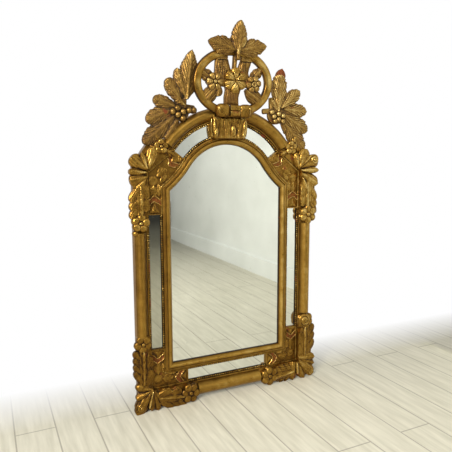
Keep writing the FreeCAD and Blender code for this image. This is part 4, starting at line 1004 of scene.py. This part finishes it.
PLATE_X = SIGHT_X + INNER_W
FOOT_PANEL = [
    (BASE_HALF, RAIL_TOP), (OUTER_X, RAIL_TOP), (OUTER_X, FOOT_TOP), (PLATE_X, FOOT_TOP),
    (PLATE_X, SIGHT_LOW - INNER_W), (BASE_HALF, SIGHT_LOW - INNER_W),
]
FOOT_MOTIFS = [
    ("disc", 254, 48, 13), ("vee", 254, 100, 90, 22), ("vee", 196, 42, 180, 22),
    ("leaf", 254, 64, 92, 38, 34), ("leaf", 240, 46, 184, 38, 34), ("oval", 238, 84, 7, 15, 0),
    ("oval", 206, 60, 15, 5, 0), ("tent", (236, 146), (254, 118), (272, 146)),
    ("tent", (154, 24), (178, 42), (154, 60)),
]
SHOULDER_PANEL = [
    (PLATE_X, SHOULDER_LOW), (OUTER_X, SHOULDER_LOW), (OUTER_X, 717), arch_point(OUTER_R, ARCH_END),
    arch_point(ARCH_R + INNER_W, ARCH_END), *(flare_point(INNER_W, s) for s in np.linspace(1, 0, 24)),
]
SHOULDER_MOTIFS = [
    ("disc", 258, 692, 13), ("vee", 254, 646, -90, 22), ("leaf", 256, 676, -92, 34, 30),
    ("oval", 239, 662, 8, 18, 0), ("tent", (236, 590), (272, 590), (254, 622)), ("vee", 206, 738, 142, 20),
    ("leaf", 244, 706, 146, 38, 32), ("oval", 172, 762, 15, 13, 0), ("oval", 224, 698, 16, 8, 130),
    ("leaf", 196, 752, 142, 30, 26),
]


# Crest

def crest_ring():
    """Oval hoop with rounded face and a fine groove near each edge."""
    half = [(0.0, 0.0), (0.0, 10.0), (0.03, 12.0), (0.09, 13.6), (0.15, 14.4), (0.19, 14.6), (0.28, 15.4),
            (0.4, 15.9)]
    profile = half + [(0.5, 16.0)] + [(1 - share, v) for share, v in half[::-1]]
    rows = 200
    corners, tones = [], []
    for i in range(rows):
        way = 2 * pi * i / rows
        for j, (share, v) in enumerate(profile):
            a, b = 112 + 26 * share, 81 + 26 * share
            lift = hand(i, j, 12.0) * 1.6 if v > 9 else 0.0
            corners.append(on_crest(a * sin(way), v + lift, 107 + b * cos(way)))
            # Painted shade on the hoop's low edges and painted highlight on its crown; around the hoop the
            # tone swells lighter and darker
            tone = max(min((v - 14.4) / 5.0, 0.4), -0.7)
            tones.append(tone + 0.25 * sin(way * 7 + 1) * sin(way * 3))
    faces = skin(rows, len(profile), ring=True)
    turn_outward(make_object("hoop", corners, faces, gilt_plain, ["crest_ring"], tones, angle=40.0))


def ribbon():
    """Bow: two smooth loops, and a knot with two wraps."""
    r = Relief(-72, 72, -6, 54, 81, pitch=0.8)
    for side in (1, -1):
        across, along = np.abs((r.x - side * 40) / 23), np.abs((r.z - 21) / 21)
        e = (across ** 3 + along ** 3) ** (1 / 3)
        r.add((1 - e) * 21, 6 + 10 * np.sqrt(unit(1 - 0.96 * e ** 2)))
    slab(r, 51, 9, 92, 24, 6, 14, 3.0, 3)
    pillow(r, -54, 21, 6, 14, 8, edge=11, rise=5)
    wrap = np.abs(np.sin(pi * (r.z - 3.5) / 17.5))
    body = np.minimum(16 - np.abs(r.x), 17.5 - np.abs(r.z - 21))
    r.add(body, 11 + 4 * np.sqrt(wrap) + unit(body / 4))
    return r


def trunk():
    """Stem bundle under the flower and the two rough arms with their collars."""
    r = Relief(-76, 76, 30, 205, 91, pitch=1.0)
    stem = polygon(r, [(-30, 38), (20, 38), (18, 62), (24, 84), (30, 108), (-34, 108), (-28, 84),
                       (-31, 60)])
    ridges = 2 * pi * r.x / 8.0 + 1.6 * wobble(r.x, 0.4 * r.z, 12.0, 9)
    bark = 0.55 * np.sin(ridges) + 0.3 * wobble(r.x, 0.5 * r.z, 7.0, 7)
    r.add(stem, 9 + 3.0 * unit(stem / 9) + 0.7 * bark, bole=0.15)
    for points in ([(-66, 96), (-30, 92), (-12, 138), (-14, 150), (-24, 178), (-66, 180), (-67, 140)],
                   [(66, 96), (30, 92), (10, 138), (12, 150), (22, 176), (60, 178), (50, 140)]):
        arm = polygon(r, points)
        r.add(arm, 7.5 + 4.0 * unit(arm / 9) + bark)
    slab(r, -65, 183, 0, 40, 21, 10, 3.0, 4, ribs=0.6)
    slab(r, 21, 181, 0, 42, 19, 10, 3.0, 4, ribs=0.6)
    slab(r, 0, 140, 88, 62, 13, 10, 4, 4)
    return r


def centre_flower():
    r = Relief(-50, 56, 62, 166, 101)
    flower(r, 2, 114, 39, 6, 30, edge=11, rise=12, depth=0.24, gouges=12)
    for x in (-9, 13):
        r.sink(x, 133, 4.0, 4.5, 3.5)
    return r


def posy(side):
    """Small flower on leaves, inside the hoop."""
    r = Relief(30, 134, 30, 176, 111 + side)
    if side > 0:
        leaf(r, 58, 112, 48, 64, 36, lobes=3, streak=True, blunt=0.2)
        petal(r, 44, 86, -32, 70, 46, edge=7, rise=9, blunt=0.7, hatch=0.6)
        pillow(r, 98, 46, 8, 7, 0, edge=9, rise=6)
        flower(r, 69, 106, 27, 6, 10, edge=8, rise=11, eye=0.3)
        r.sink(69, 106, 7, 4.5, 4.0)
    else:
        leaf(r, 66, 110, 28, 62, 38, lobes=2, rise=7, streak=True, blunt=0.3)
        petal(r, 58, 94, -50, 70, 46, edge=7, rise=9, blunt=0.6, hatch=0.7)
        leaf(r, 50, 96, -80, 34, 30, lobes=0, edge=8, rise=7, blunt=0.8)
        flower(r, 68, 107, 28, 6, 0, edge=9, rise=12)
    return r


def finial():
    """Three leaves over the hoop."""
    r = Relief(-106, 108, 150, 302, 121, pitch=1.0)
    for x, angle, bend in ((-4, 164, 0.06), (8, 16, -0.06)):
        leaf(r, x, 203, angle, 96, 60, notch=0.13, edge=5, rise=6.5, bend=bend, peak=0.48, blunt=0.25,
             foot=0.3, fold=0.9, hatch=0.5, furrow=1.0, teeth=6, shade=0.16)
    leaf(r, 3, 194, 88, 98, 56, lobes=5, notch=0.05, edge=8, rise=8, peak=0.46, blunt=0.3, foot=0.12,
         fold=1.3, hatch=0.45, furrow=0.6, teeth=6)
    slab(r, 2, 174, 90, 34, 13, 12, 4, 4)
    pillow(r, 16, 228, 9, 17, -20, edge=14, rise=3)
    return r


SPRAY_RIGHT = [
    (196, 890, -44, 136, 60, 0.75), (200, 910, -30, 116, 62, 0.75), (206, 926, -2, 90, 50, 0.8),
    (178, 920, 122, 40, 30, 0.5), (194, 930, 41, 92, 50, 0.8), (181, 921, 86, 117, 60, 1.0),
]
SPRAY_LEFT = [
    (176, 884, -55, 78, 44, 0.6), (184, 896, -42, 140, 58, 0.7), (184, 913, -22, 104, 56, 0.75),
    (180, 915, 17, 80, 44, 0.85), (156, 922, 40, 40, 30, 0.5), (168, 932, 56, 82, 46, 0.8),
    (156, 950, 74, 86, 42, 0.5), (150, 944, 96, 147, 70, 0.15),
]
BERRIES_RIGHT = [(164, 900), (181, 890), (198, 885), (182, 909), (199, 903), (168, 884), (155, 914)]
BERRIES_LEFT = [(182, 913), (180, 894), (164, 883), (163, 903), (143, 908), (197, 903), (127, 909)]


def spray(side):
    """Leaves and berries beside the hoop; the right one ends in a tip that has lost its gold."""
    r = Relief(96, 312, 780, 1098, 131 + side, pitch=1.1)
    if side > 0:
        leaves, berries, size, hatch, notch = SPRAY_RIGHT, BERRIES_RIGHT, 9.2, 1.0, 0.15
    else:
        leaves, berries, size, hatch, notch = SPRAY_LEFT, BERRIES_LEFT, 10.3, 0.5, 0.08
    slab(r, 122, 915, 6, 62, 18, 8, 4, 6)
    for x, z, radius, height in ((172, 904, 30, 10), (206, 914, 24, 8)):
        r.add(radius - polar(r, x, z)[0], height)
    slab(r, 156, 912, 92, 50, 13, 9, 4, 5)
    if side > 0:
        leaf(r, 189, 1012, 84, 46, 36, lobes=0, edge=8, rise=5, blunt=0.3, hatch=0.3, bole=0.95)
    for i, (x, z, angle, length, width, blunt) in enumerate(leaves):
        leaf(r, x, z, angle, length, width, notch=notch, edge=4.0 + 1.4 * i, rise=7, curl=2,
             bend=0.02 if i % 2 else -0.02, peak=0.42 + 0.2 * blunt, blunt=blunt, hatch=hatch, fold=1.0,
             furrow=1.4, teeth=int(length / 16))
    for x, z in berries:
        rho, _ = polar(r, x, z)
        r.add(size - rho, 11.0 + np.sqrt(np.maximum(size ** 2 - rho ** 2, 0)), shade=-0.45)
    if side > 0:
        r.stain(r.z - 1037 + 4 * wobble(r.x, r.z, 12, 3), 1.0, 4.0)
    return r


def build_carvings():
    for side, word in SIDES:
        flip = side < 0
        # lift paints the shoulder pieces lighter, the right drop most; the right spray lighter, the left
        # darker
        for kind, spot, form, lift in (
                ("shell", "foot", foot_shell, 0.0), ("drop", "foot", foot_drop, 0.0),
                ("drop", "rail", rail_drop, 0.0), ("shell", "shoulder", shoulder_shell, 0.08),
                ("drop", "shoulder", shoulder_drop, 0.08 + 0.04 * side),
                ("flower", "arch", arch_flower, 0.0)):
            form(side).build(f"{kind}_{spot}_{word}", [f"{spot}_{kind}_{word}"], BLOCK_V, flip=flip,
                             lift=lift)
        spray(side).build(f"spray_{word}", [f"crest_spray_{word}"], BLOCK_V, flip=flip,
                          lift=0.05 + 0.1 * side, material=gilt_matt)
        posy(side).build(f"posy_{word}", [f"crest_posy_{word}"], 0, on_crest, flip, material=gilt_matt)
        for spot, points, motifs, seed in (("foot", FOOT_PANEL, FOOT_MOTIFS, 3),
                                           ("shoulder", SHOULDER_PANEL, SHOULDER_MOTIFS, 7)):
            # lift paints the sunk panels lighter
            panel(points, motifs, seed + side).build(
                f"panel_{spot}_{word}", [f"{spot}_panel_{word}"], PANEL_V, flip=flip, rough=0.12, lift=0.1)
    # Painted light: the keystone piece's walls and its cheeks are toned lighter
    cartouche().build("cartouche", ["keystone_cartouche"], BLOCK_V, painted_side_shade=0.1)
    volutes().build("cartouche_cheeks", ["keystone_cartouche"], CHEEK_V, lift=0.25, painted_side_shade=0.2)
    ribbon().build("bow", ["crest_ribbon"], CREST_FRONT_V, on_crest)
    trunk().build("stems", ["crest_trunk"], 0, on_crest, material=gilt_matt)
    centre_flower().build("flower_centre", ["crest_flower"], 0, on_crest)
    finial().build("finial_leaves", ["crest_finial"], CREST_FRONT_V, on_crest, material=gilt_matt)


build_mouldings()
build_beads()
build_carvings()
crest_ring()


# Pieces that keep their own solids

def both(name):
    return [f"{name}_left", f"{name}_right"]


KEPT = {
    "mirror_glass": (mirror, ["centre_glass", *both("side_glass"), "base_glass", *both("arch_glass")]),
    "gilt_wood": (gilt, [*both("foot_block"), *both("shoulder_block"), "keystone_block", "crest_seat"]),
    "pine_board": (pine, both("back_board")),
    "brass": (brass, [*both("hanger_plate"), *both("hanger_ring")]),
    "iron": (iron, ["board_nails", "hanger_screws"]),
}
for slot, (material, names) in KEPT.items():
    for name in names:
        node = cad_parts[name]
        node.data.materials.clear()
        node.data.materials.append(mirror_dim if name == "side_glass_left" else material)


# Floor, light and camera

FLOOR_LEVEL = -0.0499
FLOOR_HALF = 8
FLOOR_PALE = [(0.3, (0.56, 0.53, 0.42)), (0.7, (0.72, 0.685, 0.565))]
FLOOR_SEAM = (0.22, 0.19, 0.15)
FLOOR_DIM = (0.10, 0.095, 0.075)
FLOOR_FAR = (0.012, 0.008, 0.006)
WALL_PALE = [(0.3, (0.66, 0.68, 0.64)), (0.7, (0.76, 0.78, 0.74))]
WALL_DIM = (0.16, 0.16, 0.14)
WALL_X = 1.0
WALL_NEAR = 0.03
WALL_FAR = -3.42
WALL_LOW = -0.0498
WALL_TOP = 2.7
SKIRTING_X = 0.985
SKIRTING_TOP = WALL_LOW + 0.12
SKIRTING_FALL = 0.006
ROOM = [(0.0, (0.30, 0.31, 0.29)), (0.55, (0.36, 0.37, 0.34)), (0.78, (0.60, 0.62, 0.58)),
        (1.0, (0.86, 0.88, 0.86))]
ROOM_FILL = (0.35, 0.36, 0.36)
WHITE = (1.0, 1.0, 1.0)
CAMERA_PLACE = (-0.7278, -1.5166, 0.7515)
CAMERA_ANGLES = (-25.68, 7.385, -0.17)
CAMERA_LENS = 39.88


def stage_plane(name, corners, material):
    mesh = bpy.data.meshes.new(name)
    mesh.from_pydata(corners, [], [(0, 1, 2, 3)])
    mesh.materials.append(material)
    item = add_object(name, mesh)
    return item


def stage_floor():
    """Pale boards that run out to white behind the mirror; far off they get painted shade that the camera
    does not see directly.
    """
    g, at = new_material("floor_pale")
    turn = {"Vector": at, "Rotation": (0, 0, radians(-90))}
    along = g.add("Mapping", turn).outputs["Vector"]
    layout = {"Vector": along, "Scale": 1.0, "Brick Width": 1.3, "Row Height": 0.115, "Mortar Size": 0.0022}
    boards = g.add("TexBrick", layout, offset=0.37)
    grain = g.noise(g.stretch(along, (3.0, 30.0, 1.0)), 2.0, 5.0)
    colour = g.mix(g.times(boards.outputs["Fac"], 0.6), g.ramp(grain, FLOOR_PALE), FLOOR_SEAM)
    depth = g.split(at)["Y"]
    unseen = g.math("SUBTRACT", 1.0, g.add("LightPath").outputs["Is Camera Ray"])
    # Painted shade: away from camera rays the boards darken far in front of the mirror
    colour = g.mix(g.times(unseen, g.band(depth, -1.2, -3.3, 0.0, 0.75)), colour, FLOOR_DIM)
    colour = g.mix(g.times(unseen, g.band(depth, -4.0, -5.0, 0.0, 0.95)), colour, FLOOR_FAR)
    shader = g.add("BsdfPrincipled", {"Base Color": colour, "Roughness": g.spread(grain, 0.55, 0.7)})
    white = g.add("Emission").outputs["Emission"]
    blend = g.add("MixShader", {0: g.band(depth, 0.02, 0.30), 1: shader.outputs["BSDF"], 2: white})
    g.add("OutputMaterial", {"Surface": blend.outputs[0]})
    half, level = FLOOR_HALF, FLOOR_LEVEL
    corners = [(-half, -half, level), (half, -half, level), (half, half, level), (-half, half, level)]
    stage_plane("floor", corners, g.owner)


def stage_wall():
    """Side wall of the room with its skirting, which only the mirror plates and the gilding show."""
    g, at = new_material("wall_pale")
    cloud = g.noise(at, 3.0, 4.0)
    # Painted shade: the wall grows darker far in front of the mirror
    far = g.band(g.split(at)["Y"], -1.2, -3.4, 0.0, 0.38)
    colour = g.mix(far, g.ramp(cloud, WALL_PALE), WALL_DIM)
    material = g.surface(colour, g.spread(cloud, 0.7, 0.85), g.bump(cloud, 0.1, 0.002))
    for name, low_x, low, top_x, top in (
            ("wall", WALL_X, WALL_LOW, WALL_X, WALL_TOP),
            ("skirting", SKIRTING_X, WALL_LOW, SKIRTING_X, SKIRTING_TOP),
            ("skirting_top", SKIRTING_X, SKIRTING_TOP, WALL_X, SKIRTING_TOP + SKIRTING_FALL)):
        corners = [(low_x, WALL_NEAR, low), (low_x, WALL_FAR, low), (top_x, WALL_FAR, top),
                   (top_x, WALL_NEAR, top)]
        item = stage_plane(name, corners, material)
        item.visible_camera = False
        item.visible_shadow = False


def stage_world():
    """White behind the mirror; the room in front is grey to the left and lighter to the right."""
    world = bpy.data.worlds.new("room")
    bpy.context.scene.world = world
    g = Graph(world)
    way = g.split(g.add("TexCoord").outputs["Generated"])
    room = g.ramp(g.band(way["X"], -0.6, 0.75), ROOM)
    seen = g.mix(g.band(way["Y"], -0.15, 0.15), room, WHITE)
    ray = g.add("LightPath").outputs
    sharp = g.math("MAXIMUM", ray["Is Glossy Ray"], ray["Is Transmission Ray"])
    colour = g.mix(ray["Is Camera Ray"], g.mix(sharp, ROOM_FILL, seen), WHITE)
    back = g.add("Background", {"Color": colour})
    g.add("OutputWorld", {"Surface": back.outputs[0]})


def area_light(name, place, target, size, power, tint):
    data = bpy.data.lights.new(name, "AREA")
    data.size = size
    data.energy = power
    data.color = tint
    lamp = add_object(name, data)
    lamp.location = place
    lamp.rotation_mode = "QUATERNION"
    lamp.rotation_quaternion = (Vector(target) - Vector(place)).to_track_quat("-Z", "Y")


def camera():
    """Camera at the photograph's place, from its turn, rise and roll in degrees."""
    way, rise, roll = (radians(angle) for angle in CAMERA_ANGLES)
    data = bpy.data.cameras.new("camera")
    data.sensor_fit = "HORIZONTAL"
    data.sensor_width = 36.0
    data.lens = CAMERA_LENS
    item = add_object("camera", data)
    item.matrix_world = Matrix.Translation(CAMERA_PLACE)
    for angle, axis in ((way, "Z"), (pi / 2 - rise, "X"), (roll, "Z")):
        item.matrix_world = item.matrix_world @ Matrix.Rotation(angle, 4, axis)
    bpy.context.scene.camera = item


stage_floor()
stage_wall()
stage_world()
area_light("key", (-2.1, -2.2, 1.75), (0, 0, 0.55), 1.0, 125.0, (1.0, 0.97, 0.92))
area_light("room", (0.0, -2.6, 2.5), (0.6, -1.6, 0.4), 1.6, 18.0, WHITE)
camera()
bpy.context.scene.view_settings.view_transform = "Standard"
